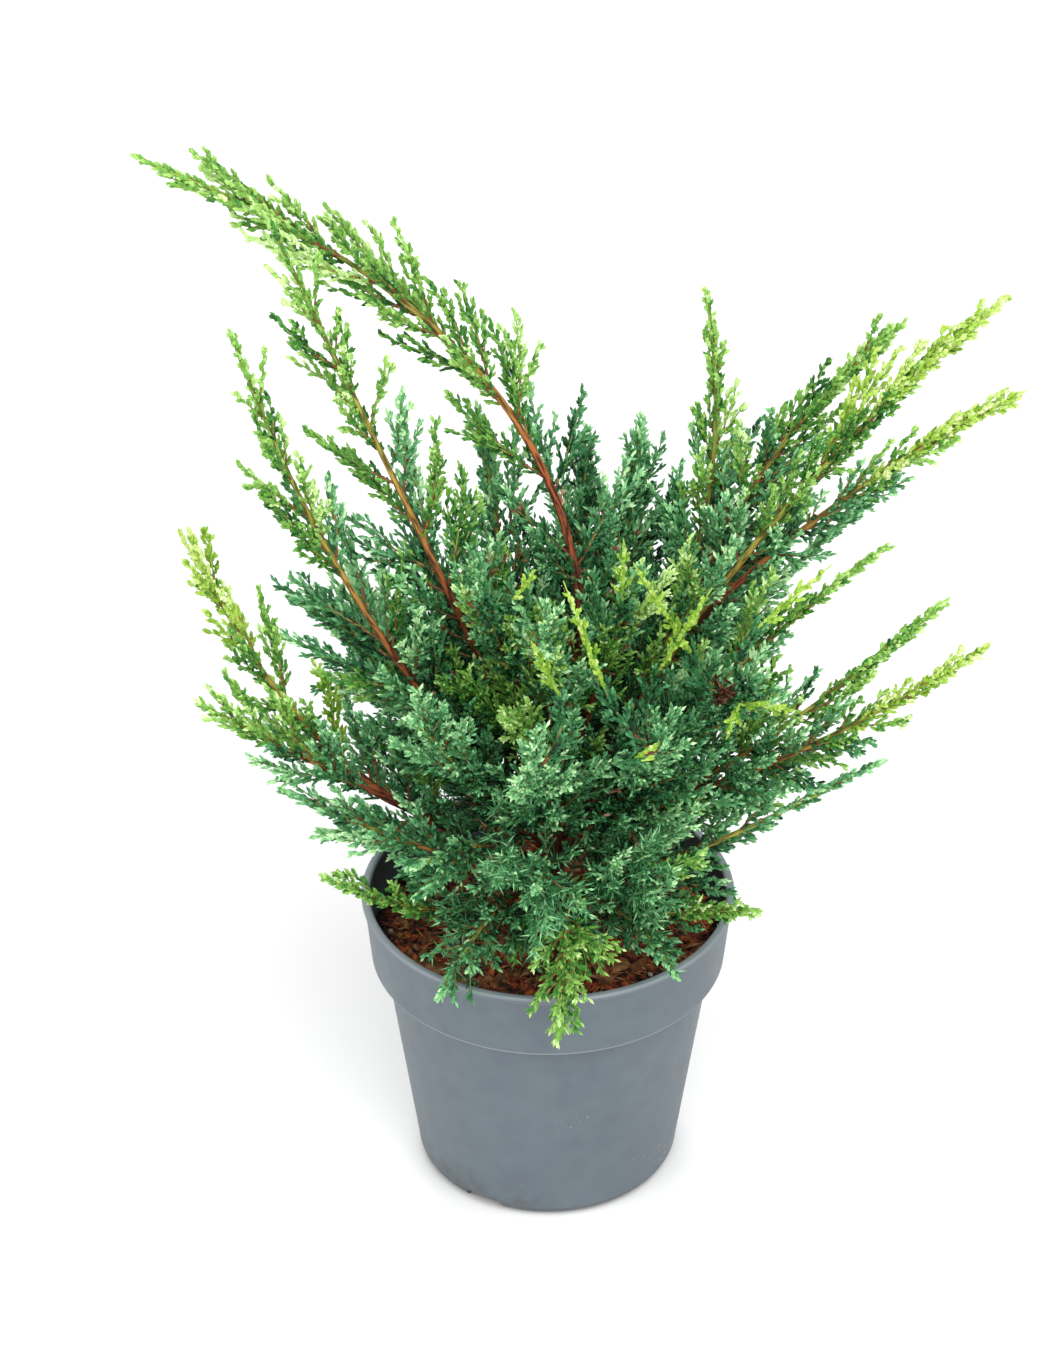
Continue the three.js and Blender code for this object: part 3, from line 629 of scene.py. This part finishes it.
# turn is in degrees from plume to plume, nextTurn in radians from branchlet to branchlet
growth = {
    "topShare": 0.9, "turn": 137.5, "nextTurn": 2.4, "shortest": 0.3, "crowding": 3.0, "samples": 24,
    "boxMargin": 3, "rise": 0.24, "sidePlumesFrom": 27, "sidePlumeEvery": 13, "sidePlumeShare": 0.45,
    "branchletEvery": 2.3, "broadShare": 0.2, "slimShare": 0.1, "leafEvery": 3.8, "sideLeafEvery": 3.2,
    "leafLength": 5.2, "leafWidth": 1.75, "needleLength": 6.2, "needleWidth": 0.9, "seed": 28,
    "needledShare": 0.6, "dryShare": 0.035, "dryInShade": 0.25,
    "heart": (5, 0), "shadeDepth": 1.1, "shadeReach": 75, "shadeTop": 290,
    "youngFrom": 0.42, "limeFrom": 0.6, "freshUnderLime": 0.28, "freshInHeart": (0.03, 0.45),
    "insideRim": 82, "aboveMix": 131, "aboveRim": 150, "outsideRim": 91,
}


def unit(vector):
    return vector / max(1e-9, np.linalg.norm(vector))


def sideways(along):
    # two directions square to `along`, the first of them level
    level = np.cross(along, up)
    level = np.array([1.0, 0.0, 0.0]) if np.dot(level, level) < 1e-6 else unit(level)
    return level, unit(np.cross(along, level))


def leaningFrom(along, sides, lean, turn):
    level, square = sides
    return along * math.cos(lean) + (level * math.cos(turn) + square * math.sin(turn)) * math.sin(lean)


def seededNumbers(seed):
    state = seed

    def following():
        nonlocal state
        state = (state * 1664525 + 1013904223) % 2 ** 32
        return state / 2 ** 32
    return following


class BentLine:
    # a quadratic Bezier curve read by its share of length
    def __init__(self, foot, control, tip):
        self.corners = [np.array(p, float) for p in (foot, control, tip)]
        self.steps = np.linspace(0, 1, 201)
        points = np.array([self.bezier(t) for t in self.steps])
        self.lengths = np.concatenate([[0], np.cumsum(np.linalg.norm(np.diff(points, axis=0), axis=1))])
        self.length = self.lengths[-1]

    def bezier(self, t):
        foot, control, tip = self.corners
        return (1 - t) ** 2 * foot + 2 * t * (1 - t) * control + t ** 2 * tip

    def at(self, share):
        return self.bezier(np.interp(share * self.length, self.lengths, self.steps))

    def tangent(self, share):
        foot, control, tip = self.corners
        t = np.interp(share * self.length, self.lengths, self.steps)
        return unit((1 - t) * (control - foot) + t * (tip - control))


def shootCurve(foot, via, tip):
    via, tip = np.array(via, float), np.array(tip, float)
    near, far = np.linalg.norm(foot - via), np.linalg.norm(via - tip)
    share = near / (near + far)
    control = (via - (1 - share) ** 2 * foot - share ** 2 * tip) / (2 * share * (1 - share))
    return BentLine(foot, control, tip)


stemFoot, stemTop = np.array(stem["foot"], float), np.array(stem["top"], float)
stemCurve = BentLine(stemFoot, (stemFoot[0], stemFoot[1], (stemFoot[2] + stemTop[2]) / 2), stemTop)
curves = {}
for shoot in shoots:
    parent = curves[shoot["from"]] if "from" in shoot else stemCurve
    curves[shoot["name"]] = shootCurve(parent.at(shoot["at"]), shoot["via"], shoot["tip"])
shootSamples = np.array([[curves[one["name"]].at(s)
                          for s in np.linspace(one["bare"], 1, growth["samples"] + 1)] for one in shoots])


def lengthInOwnSpace(order, root, direction, length):
    # a plume ends where it comes clearly nearer to another shoot than to its own
    parts = 6
    for i in range(2, parts + 1):
        gaps = np.linalg.norm(shootSamples - (root + direction * length * i / parts), axis=2).min(axis=1)
        own = gaps[order]
        gaps[order] = np.inf
        if gaps.min() * growth["crowding"] < own:
            return length * (i - 1) / parts
    return length


def lengthInBox(root, direction, length):
    # no plume grows out of the plant's own box
    margin = growth["boxMargin"]
    for axis in range(3):
        end = root[axis] + direction[axis] * length
        over = max(end - cadBox[1][axis] / mm - margin, cadBox[0][axis] / mm - margin - end, 0)
        if over > 0:
            length -= over / max(0.2, abs(direction[axis]))
    return max(4, length)


def plumesOf(order, shoot, curve):
    # the rule of the part's sprays, at the closer spacing of the real plumes; on a limb they start lower, but
    # none stands in front of the bark where it shows
    random = seededNumbers(order)
    bare, top, spacing = shoot["bare"], growth["topShare"], shoot["spacing"]
    first = bare * shoot["hidden"]
    count = round(curve.length * (top - first) / spacing)
    places = [first + (top - first) * (i + 0.35 + 0.3 * random()) / count for i in range(count)]
    places += [share + 0.5 * spacing / curve.length for share in places
               if share < 0.5 and random() < shoot["bushyFoot"]]
    for i, share in enumerate(places):
        along = max(0.0, (share - bare) / (top - bare))
        tangent = curve.tangent(share)
        turn = math.radians(order + i * growth["turn"]) + 0.5 * random()
        lean = math.radians(np.interp(along, [0, 0.7], [shoot["wideAngle"], shoot["closeAngle"]]))
        direction = unit(leaningFrom(tangent, sideways(tangent), lean, turn) + up * shoot["lift"])
        if shoot["barkShows"][0] < share < shoot["barkShows"][1] and direction[1] < -0.15:
            continue
        direction = unit(direction + shoot["stray"] * chance.normal(size=3))
        profile = np.interp(along, [0, 0.4, 0.7, 1], shoot["profile"])
        if shoot["kind"] == "limb" and along > 0.4:
            profile *= 1.3 if i % 3 == 0 else 0.88
        wanted = shoot["reach"] * shoot["reachShare"] * profile * (0.85 + 0.3 * random())
        root = curve.at(share)
        wanted *= 1 + shoot["uneven"] * chance.uniform(-1.1, 0.5)
        if shoot["kind"] != "dense":
            # the shoot's own end stands free, past its last plumes
            wanted = min(wanted, 8 + 0.8 * (1 - share) * curve.length)
        wanted = lengthInBox(root, direction, wanted)
        length = lengthInOwnSpace(order, root, direction, wanted)
        if length > growth["shortest"] * wanted:
            yield root, direction, length, along, tangent


chance = np.random.default_rng(growth["seed"])
families = ["blue", "fresh", "lime", "dry"]
shapes = {"cord": 0, "needle": 1, "bud": 2}
leafRows = []  # one row for each leaf: base x y z, aim x y z, length, width, tint place, family, shape
twigLines = []  # one entry for each twig: points, radii, family, how old its foot is


def addLeaf(place, aim, length, width, tone, family, shape):
    leafRows.append((*place, *aim, length, width, tone, family, shapes[shape]))


def isOutsidePot(points):
    # clear of the wall and the lip, and above the mix
    radius, height = np.hypot(points[:, 0], points[:, 1]), points[:, 2]
    lowest = np.where(radius < growth["insideRim"], growth["aboveMix"], growth["aboveRim"])
    return (height > lowest) | (radius > growth["outsideRim"])


def innerShade(place):
    # painted shade: foliage is darker the nearer it is to the stem, deep in the crown where little light
    # reaches
    away = math.dist(place, (*growth["heart"], min(place[2], growth["shadeTop"])))
    return -growth["shadeDepth"] * max(0.0, 1 - away / growth["shadeReach"])


def leafyTwig(root, direction, length, family, tone, needled, slim):
    # a branchlet: a chain of overlapping scale-leaf cords, with shorter ones that stand off it
    sides = sideways(direction)
    shade = innerShade(root)
    tone = tone + 0.35 * chance.normal() + shade
    if shade < -growth["dryInShade"] and chance.random() < growth["dryShare"]:
        family, tone = 3, chance.uniform(0.5, 3)  # dry brown bits stay caught among the old foliage
    stout = growth["leafWidth"] * (0.85 + 0.55 * slim) * (0.75 if needled else 1)
    chain = max(1, round(length / growth["leafEvery"]))
    for i in range(chain):
        share = i / chain
        place = root + direction * length * share * 0.88
        aim = unit(direction + 0.09 * chance.normal(size=3))
        addLeaf(place, aim, growth["leafLength"] * chance.uniform(0.9, 1.15),
                stout * (1.05 - 0.25 * share) * chance.uniform(0.88, 1.1),
                tone - 0.15 + 1.2 * share + 0.4 * chance.normal(), family, "cord")
    count = round(length / growth["sideLeafEvery"] * (1.5 if needled else 1 - 0.35 * slim))
    for i in range(count):
        share = (i + 0.6) / (count + 0.6)
        turn = i * growth["nextTurn"] + chance.uniform(0, 1.2)
        lean = math.radians(chance.uniform(38, 58) if needled else chance.uniform(24, 36) - 8 * slim)
        aim = leaningFrom(direction, sides, lean, turn)
        place = root + direction * length * share * 0.85
        if needled:
            addLeaf(place, aim, growth["needleLength"] * chance.uniform(0.75, 1.15), growth["needleWidth"],
                    tone + 0.2 + 1.1 * share + 0.4 * chance.normal(), family, "needle")
        else:
            addLeaf(place, aim, growth["leafLength"] * chance.uniform(0.65, 0.95),
                    stout * chance.uniform(0.85, 1.1),
                    tone + 0.2 + 1.2 * share + 0.4 * chance.normal(), family, "bud")


def plume(root, direction, length, family, tone, needled, slim, ahead, isSide=False):
    # a feathery spray that bends a little towards `ahead`, with short leafy branchlets close round it, and
    # on a long one smaller plumes of the same kind
    bend = unit(ahead - direction * np.dot(ahead, direction) + 1e-6)
    bend = bend * growth["rise"] * (0.5 + chance.random()) + 0.08 * chance.normal(size=3)

    def placeOn(share):
        return root + direction * length * share + bend * length * share * share * 0.5

    steps = max(3, int(length / 6))
    twigLines.append((np.array([placeOn(s) for s in np.linspace(0, 1, steps + 1)]),
                      np.linspace(0.3 + length / 110, 0.3, steps + 1), family, 0.35 if isSide else 0.7))
    spread = growth["broadShare"] + (growth["slimShare"] - growth["broadShare"]) * slim
    count = max(2, int(length / growth["branchletEvery"] / (1 + 0.4 * slim)))
    for i in range(count):
        share = (i + 0.3 + 0.4 * chance.random()) / count
        along = unit(direction + bend * share)
        turn = i * growth["nextTurn"] + 0.7 * chance.random()
        lean = math.radians((40 - 14 * share) * (1 - 0.4 * slim) + chance.normal() * 4)
        aim = unit(leaningFrom(along, sideways(along), lean, turn) + up * 0.06)
        swell = np.interp(share, [0, 0.15, 0.5, 1], [0.6, 1.05 - 0.1 * slim, 0.85 + 0.15 * slim, 0.4])
        size = max(3.0, (spread * length + 3.0) * swell) * chance.uniform(0.75, 1.25)
        leafyTwig(placeOn(share), aim, size, family, tone + 1.5 * share, needled, slim)
    leafyTwig(placeOn(0.93), unit(direction + bend), 5.5, family, tone + 1.8, False, slim)
    if not isSide and length > growth["sidePlumesFrom"]:
        count = round(length * 0.6 / growth["sidePlumeEvery"])
        for i in range(count):
            share = 0.14 + 0.5 * (i + chance.random() * 0.6) / count
            along = unit(direction + bend * share)
            turn = i * growth["nextTurn"] + chance.uniform(0, 2)
            lean = math.radians(chance.uniform(24, 38) * (1 - 0.35 * slim))
            aim = unit(leaningFrom(along, sideways(along), lean, turn) + up * 0.08)
            size = growth["sidePlumeShare"] * length * (1.1 - 0.5 * share) * chance.uniform(0.8, 1.2)
            plume(placeOn(share), aim, size, family, tone + 0.6 * share, needled, slim, along, isSide=True)


def plumeFamily(shoot, own, along):
    # the old wood carries blue-green plumes, and the top of a shoot its own younger green
    youth = along + chance.normal() * 0.12
    if shoot["kind"] == "dense":
        return 1 if chance.random() < growth["freshInHeart"][bool(own)] else 0
    if own == 2:
        return 2 if youth > growth["limeFrom"] else 1 if youth > growth["freshUnderLime"] else 0
    if youth > growth["youngFrom"]:
        return own
    return 1 if chance.random() < shoot["greener"] and own else 0


for order, shoot in enumerate(shoots):
    curve, kind, bare = curves[shoot["name"]], shoot["kind"], shoot["bare"]
    own = families.index(shoot["green"])
    for root, direction, length, along, tangent in plumesOf(order, shoot, curve):
        family = plumeFamily(shoot, own, along)
        needled = shoot["needled"] and chance.random() < growth["needledShare"]
        tone = shoot["tone"][0] + shoot["tone"][1] * along
        if kind == "dense":
            tone += 0.007 * (root[2] - 250)  # lighter towards the top of the crown
        tone += chance.normal() * (0.35 if needled else 0.6) - 0.4 * needled
        if kind == "limb" and family == 0:
            tone += 0.25
        slim = shoot["slimness"] * min(1, 0.25 + along)
        ahead = unit(tangent + up * ((1 if kind == "dense" else 0) - 2 * shoot["droop"]))
        plume(root, direction, length, family, tone, needled, slim, ahead)
    # leafy branchlets straight on the shoot's own axis, closest at its slender tip
    share = bare + (1 - bare) * shoot["axisFrom"]
    i = 0
    while share < 1:
        along = (share - bare) / (1 - bare)
        tangent = curve.tangent(share)
        turn = i * growth["nextTurn"] + chance.random()
        lean = math.radians(np.interp(along, [0, 0.6, 1], [44, 30, 14]))
        aim = unit(leaningFrom(tangent, sideways(tangent), lean, turn))
        family = own if along > 0.35 and kind != "dense" else 0
        size = np.interp(along, [0, 0.7, 1], [9, 8, 5]) * chance.uniform(0.8, 1.2)
        leafyTwig(curve.at(share), aim, size, family, 0.7 + 1.7 * along, False, along)
        share += np.interp(along, [0, 0.7, 1], [4.5, 2.8, 1.7]) / curve.length
        i += 1
    leafyTwig(curve.at(0.99), curve.tangent(1), 6, own, 2.9, False, 1)

# a few single young shoots stand bright against the old foliage: the foot and tip of each
youngShoots = [
    ((62, -58, 316), (36, -80, 376)), ((48, -66, 312), (70, -78, 362)), ((24, -80, 312), (6, -72, 362)),
    ((4, -92, 316), (-8, -98, 348)), ((32, -56, 342), (32, -64, 378)), ((84, -70, 298), (108, -92, 308)),
    ((84, -70, 298), (77, -96, 296)), ((36, -106, 292), (47, -104, 298)), ((92, -50, 324), (124, -42, 352)),
    ((-16, -60, 344), (-6, -66, 364)), ((30, 84, 240), (52, 118, 272)), ((-44, 84, 240), (-70, 104, 280)),
]
deadSpray = {"place": (76, -70, 304), "comesFrom": (0.3, -1, 0.4), "bits": 22, "length": 6}
shootPoints = np.array([curves[one["name"]].at(s) for one in shoots for s in np.linspace(0.1, 0.95, 60)])


def joinToShoot(foot, direction, length):
    # an old leafy twig that bends from the nearest shoot into the foot of a spray
    start = foot - min(24, 0.6 * length) * direction
    nearest = shootPoints[np.linalg.norm(shootPoints - start, axis=1).argmin()]
    control = foot - direction * np.linalg.norm(foot - nearest) * 0.5
    line = np.array([nearest * (1 - s) ** 2 + control * 2 * s * (1 - s) + foot * s * s
                     for s in np.linspace(0, 1, 7)])
    twigLines.append((line, np.linspace(1.0, 0.6, 7), 0, 0.8))
    for a, b in zip(line[1:], line[2:]):
        for _ in range(4):
            aim = unit(unit(b - a) + 0.45 * chance.normal(size=3))
            leafyTwig(a, aim, np.linalg.norm(b - a) + 5, 0, 0.3, False, 0.5)


for ends in youngShoots:
    foot, tip = np.array(ends, float)
    length, direction = np.linalg.norm(tip - foot), unit(tip - foot)
    sides = sideways(direction)
    joinToShoot(foot, direction, length)
    twigLines.append((np.array([foot, tip]), [0.6, 0.35], 2, 0.2))
    leafyTwig(foot, direction, length, 2, 1.0, False, 1)
    for i in range(int(length / 5)):
        share = 0.1 + 0.8 * i / int(length / 5)
        turn, lean = i * growth["nextTurn"] + chance.random(), math.radians(32 - 12 * share)
        aim = leaningFrom(direction, sides, lean, turn)
        leafyTwig(foot + direction * length * share, aim, 8 - 4 * share, 2, 0.8 + share, False, 1)
# one dead spray hangs on at the right of the heart
middle = np.array(deadSpray["place"], float)
joinToShoot(middle, unit(np.array(deadSpray["comesFrom"], float)), 10)
for _ in range(deadSpray["bits"]):
    aim = unit(chance.normal(size=3) + np.array([0, -0.8, 0.3]))
    twigLines.append((np.array([middle, middle + deadSpray["length"] * aim]), [0.5, 0.3], 3, 0.9))
    leafyTwig(middle + 1.8 * chance.normal(size=3), aim, 5, 3, -0.6, False, 0)

leaves = np.array(leafRows)
tips = leaves[:, 0:3] + leaves[:, 3:6] * leaves[:, 6:7]
leaves = leaves[isOutsidePot(leaves[:, 0:3]) & isOutsidePot(tips)]
print("  leaves", len(leaves), "twigs", len(twigLines))


print("leaves")
leafColours = {
    "blue": ["#173f24", "#347242", "#5b9c66", "#8cc78a", "#c4edb2"],
    "fresh": ["#235a20", "#458435", "#76aa49", "#a0cb6b", "#cdeb9e"],
    "lime": ["#4f841e", "#7ca530", "#a3c651", "#c1d97c", "#dae9ab"],
    "dry": ["#35160c", "#5e3420", "#8a5c3e", "#a98362", "#c2a286"],
}
# the rings of each leaf as place and radius, and how far each ring is turned on the last
leafForms = {"Cords": ([(0.25, 0.5), (0.76, 0.42)], 0.9), "Needles": ([(0.3, 0.5)], 0),
             "Buds": ([(0.58, 0.5)], 0)}
slots = {"blue": "foliage_blue_green", "fresh": "foliage_fresh_green", "lime": "foliage_young_tips",
         "dry": "foliage_blue_green"}
mostLeaves = 16000  # in one piece, each of up to twelve faces


def leafMesh(rings, twist):
    # a scale-leaf cord one unit long and one unit wide: a slim three-sided spindle of a few faces
    vertices = [(0, 0, 0)]
    for i, (place, radius) in enumerate(rings):
        for j in range(3):
            angle = fullTurn * j / 3 + i * twist
            vertices.append((radius * math.cos(angle), radius * math.sin(angle), place))
    vertices.append((0, 0, 1))
    faces = [(0, 1 + (j + 1) % 3, 1 + j) for j in range(3)]
    for i in range(len(rings) - 1):
        for j in range(3):
            a, b, k = 1 + 3 * i, 4 + 3 * i, (j + 1) % 3
            faces += [(a + j, a + k, b + k), (a + j, b + k, b + j)]
    last = len(vertices) - 4
    faces += [(last + j, last + (j + 1) % 3, len(vertices) - 1) for j in range(3)]
    return meshObject("leaf", vertices, faces, smooth=False)


def leafTree():
    # puts one leaf on every point, aimed, turned and sized by the point's own values
    tree, given = startTree("leavesOnTwigs", {"Leaf": "Object", "Seed": "Int"})
    aim, size = (addNode(tree, "GeometryNodeInputNamedAttribute", {"Name": name}, data_type="FLOAT_VECTOR")
                 for name in ("aim", "size"))
    aimed = addNode(tree, "FunctionNodeAlignRotationToVector", {"Vector": aim.outputs["Attribute"]}, axis="Z")
    spin = addNode(tree, "FunctionNodeRandomValue", {
        2: 0.0, 3: fullTurn, "Seed": given["Seed"]}, data_type="FLOAT")
    turn = addNode(tree, "FunctionNodeAxisAngleToRotation", {"Axis": (0, 0, 1), "Angle": spin.outputs[1]})
    turned = addNode(tree, "FunctionNodeRotateRotation", {
        "Rotation": aimed.outputs[0], "Rotate By": turn.outputs[0]}, rotation_space="LOCAL")
    source = addNode(tree, "GeometryNodeObjectInfo", {"Object": given["Leaf"]}, transform_space="ORIGINAL")
    points = addNode(tree, "GeometryNodeMeshToPoints", {"Mesh": given["Geometry"]})
    placed = addNode(tree, "GeometryNodeInstanceOnPoints", {
        "Points": points.outputs[0], "Instance": source.outputs["Geometry"],
        "Rotation": turned.outputs[0], "Scale": size.outputs["Attribute"]})
    return endTree(tree, placed.outputs["Instances"], given["Material"])


def pointMesh(rows):
    mesh = bpy.data.meshes.new("leafPoints")
    mesh.vertices.add(len(rows))
    mesh.vertices.foreach_set("co", (rows[:, 0:3] * mm).ravel().astype(np.float32))
    pointValues(mesh, "aim", rows[:, 3:6])
    pointValues(mesh, "size", rows[:, (7, 7, 6)] * mm)
    return addObject("leafPoints", mesh)


leafShapes = {form: leafMesh(*leafForms[form]) for form in leafForms}
leavesOnTwigs = leafTree()
foliageNodes = ["foliage_" + one["name"] for one in shoots]
toFamily = leaves[:, 9].astype(int)
toTint = np.clip(np.round(leaves[:, 8]).astype(int), 0, 4)
piecesMade = 0
for f, family in enumerate(families):
    for tint, colour in enumerate(leafColours[family]):
        # living juniper leaf: a waxy skin, so a soft broad gloss over a plain green
        material, tree, shader = startMaterial(family + "Leaf" + str(tint), colour, 0.5, ior=1.42)
        shader.inputs["Specular IOR Level"].default_value = 0.4
        for shape, (form, leafShape) in enumerate(leafShapes.items()):
            rows = leaves[(toFamily == f) & (toTint == tint) & (leaves[:, 10] == shape)]
            for part in range(0, len(rows), mostLeaves):
                name = family + form + str(tint) + "_" + str(part // mostLeaves)
                piece = runNodes(pointMesh(rows[part:part + mostLeaves]), leavesOnTwigs,
                                 {"Leaf": leafShape, "Material": material, "Seed": piecesMade}, name)
                piecesMade += 1
                finishPiece(piece, slots[family], *foliageNodes)
for leafShape in leafShapes.values():
    bpy.data.objects.remove(leafShape)


print("twigs")
twigs = {"sides": 4, "colours": {"blue": "#5d7f42", "fresh": "#7fa348", "lime": "#9cc04a", "dry": "#6a4028"},
         "ageing": "#9a7a3c", "woody": "#7d4a2c"}


def twigTree():
    # a twig of a few sides over every line, as thick as its points say
    tree, given = startTree("twigsOverLines", {"Sides": "Int"})
    line = addNode(tree, "GeometryNodeMeshToCurve", {"Mesh": given["Geometry"]})
    radius = addNode(tree, "GeometryNodeInputNamedAttribute", {"Name": "thickness"}, data_type="FLOAT")
    outline = addNode(tree, "GeometryNodeCurvePrimitiveCircle", {"Resolution": given["Sides"], "Radius": 1.0})
    tube = addNode(tree, "GeometryNodeCurveToMesh", {
        "Curve": line.outputs[0], "Profile Curve": outline.outputs["Curve"], "Fill Caps": True,
        "Scale": radius.outputs["Attribute"]})
    return endTree(tree, tube.outputs[0], given["Material"])


def lineMesh(lines):
    vertices, edges, thickness, ages = [], [], [], []
    for points, radii, oldest in lines:
        start = len(vertices)
        vertices += [tuple(p * mm) for p in points]
        thickness += [r * mm for r in radii]
        ages += list(np.linspace(oldest, 0, len(points)))
        edges += [(start + i, start + i + 1) for i in range(len(points) - 1)]
    mesh = bpy.data.meshes.new("twigLines")
    mesh.from_pydata(vertices, edges, [])
    pointValues(mesh, "thickness", thickness)
    pointValues(mesh, "age", ages)
    return addObject("twigLines", mesh)


twigsOverLines = twigTree()
for f, family in enumerate(families):
    # green young twig that turns brown and woody towards its foot
    green = twigs["colours"][family]
    material, tree, shader = startMaterial(family + "Twig", green, 0.7)
    age = addNode(tree, "ShaderNodeAttribute", attribute_name="age").outputs["Fac"]
    mixed = addNode(tree, "ShaderNodeMath", {0: age, 1: objectPattern(tree, 3, 2.0)}, operation="ADD")
    ramp = addNode(tree, "ShaderNodeValToRGB", {0: mixed.outputs[0]},
                   [(0.75, green), (1.0, twigs["ageing"]), (1.15, twigs["woody"])])
    tree.links.new(ramp.outputs["Color"], shader.inputs["Base Color"])
    kept = [(points, radii, oldest) for points, radii, own, oldest in twigLines
            if own == f and isOutsidePot(points).all()]
    values = {"Sides": twigs["sides"], "Material": material}
    piece = runNodes(lineMesh(kept), twigsOverLines, values, family + "Twigs")
    piece.data.shade_smooth()
    finishPiece(piece, slots[family])


print("stem and boughs")
barkSkin = {"stemSides": 28, "limbSides": 12, "shootSides": 8, "step": 2.2, "depth": 0.16,
            "firstPattern": 197, "patternStep": 31.7, "ridge": 9, "knot": 3.5,
            "stemAge": (0.0, 0.25), "rightAge": (0.36, 1.0), "leftAge": (0.15, 1.0), "limbEnd": 0.985}


def stemRadius(share):
    height = share * (stemTop[2] - stemFoot[2])
    flare = (stem["flareRadius"] - stem["footRadius"]) * math.exp(-3 * height / stem["flareHeight"])
    return flare + stem["footRadius"] + (stem["topRadius"] - stem["footRadius"]) * share


def reliefTube(name, order, curve, radiusAt, sides, agedFrom, agedTo, end=1.0):
    # a closed tube whose skin is ridged along its length; each point keeps its own place in the bark
    steps = max(6, int(curve.length * end / barkSkin["step"]))
    vertices, places, ages = [], [], []
    shift = (barkSkin["firstPattern"] + order) * barkSkin["patternStep"]
    for i in range(steps + 1):
        share = end * i / steps
        level, square = sideways(curve.tangent(share))
        centre, radius, height = curve.at(share), radiusAt(share), share * curve.length
        for j in range(sides):
            angle = fullTurn * j / sides
            x, y = math.cos(angle), math.sin(angle)
            ridge = noise.noise(Vector((x * 2.2 + shift, y * 2.2, height / barkSkin["ridge"])))
            knot = noise.noise(Vector((x + shift, y + 5, height / barkSkin["knot"])))
            size = radius * (1 + barkSkin["depth"] * (0.8 * ridge + 0.6 * knot))
            vertices.append((centre + (level * x + square * y) * size) * mm)
            places.append((x * radius, y * radius, height))
            ages.append(agedFrom + (agedTo - agedFrom) * share)
    faces = bandFaces(steps, sides)
    faces += [tuple(range(sides)), tuple(reversed(range(steps * sides, (steps + 1) * sides)))]
    piece = meshObject(name, vertices, faces)
    pointValues(piece.data, "barkPlace", np.array(places) * mm)
    pointValues(piece.data, "age", ages)
    faceOutwards(piece.data)
    return piece


def barkMaterial():
    # young juniper bark: thin red-brown skin that peels in long grey strips, orange and then green
    # towards the growing end
    material, tree, shader = startMaterial("peelingJuniperBark", "#8a4a2c", 0.8)
    place = addNode(tree, "ShaderNodeAttribute", attribute_name="barkPlace").outputs["Vector"]
    age = addNode(tree, "ShaderNodeAttribute", attribute_name="age").outputs["Fac"]
    # the strips are about 1 mm wide and 9 mm long
    strips = addNode(tree, "ShaderNodeMapping", {"Vector": place, "Scale": (900, 900, 110)})
    grain = addNode(tree, "ShaderNodeTexNoise", {
        "Vector": strips.outputs[0], "Scale": 1.0, "Detail": 5.0}).outputs["Fac"]
    ramps = [(age, [(0.0, "#6a3f2e"), (0.3, "#87432a"), (0.5, "#a85a2e"), (0.64, "#b58a3e"),
                    (0.78, "#a3a646"), (1.0, "#86a846")]),
             (age, [(0.0, "#2c1712"), (0.5, "#4c1f12"), (0.8, "#5d6424")]),
             (grain, [(0.42, "#000000"), (0.56, "#ffffff")])]
    light, dark, share = (addNode(tree, "ShaderNodeValToRGB", {0: value}, stops).outputs["Color"]
                          for value, stops in ramps)
    mixed = addNode(tree, "ShaderNodeMix", {"Factor": share, "A": dark, "B": light}, data_type="RGBA")
    dressShader(tree, shader, mixed.outputs["Result"], grain, 0.6, 0.4)
    return material


bark = barkMaterial()
trunk = reliefTube("barkStem", 0, stemCurve, stemRadius, barkSkin["stemSides"], *barkSkin["stemAge"])
trunk.data.materials.append(bark)
finishPiece(trunk, "bark", "stem")
for order, shoot in enumerate(shoots):
    curve, isBough = curves[shoot["name"]], shoot["kind"] == "limb"
    thick = 1.2 + curve.length / 320
    age = barkSkin["rightAge" if "right" in shoot["name"] else "leftAge"]
    limb = reliefTube("limb_" + shoot["name"], order + 1, curve, lambda s: thick + (0.7 - thick) * s,
                      barkSkin["limbSides" if isBough else "shootSides"], *age, end=barkSkin["limbEnd"])
    limb.data.materials.append(bark)
    finishPiece(limb, "bark", *(["bough_" + shoot["name"]] if isBough else []))
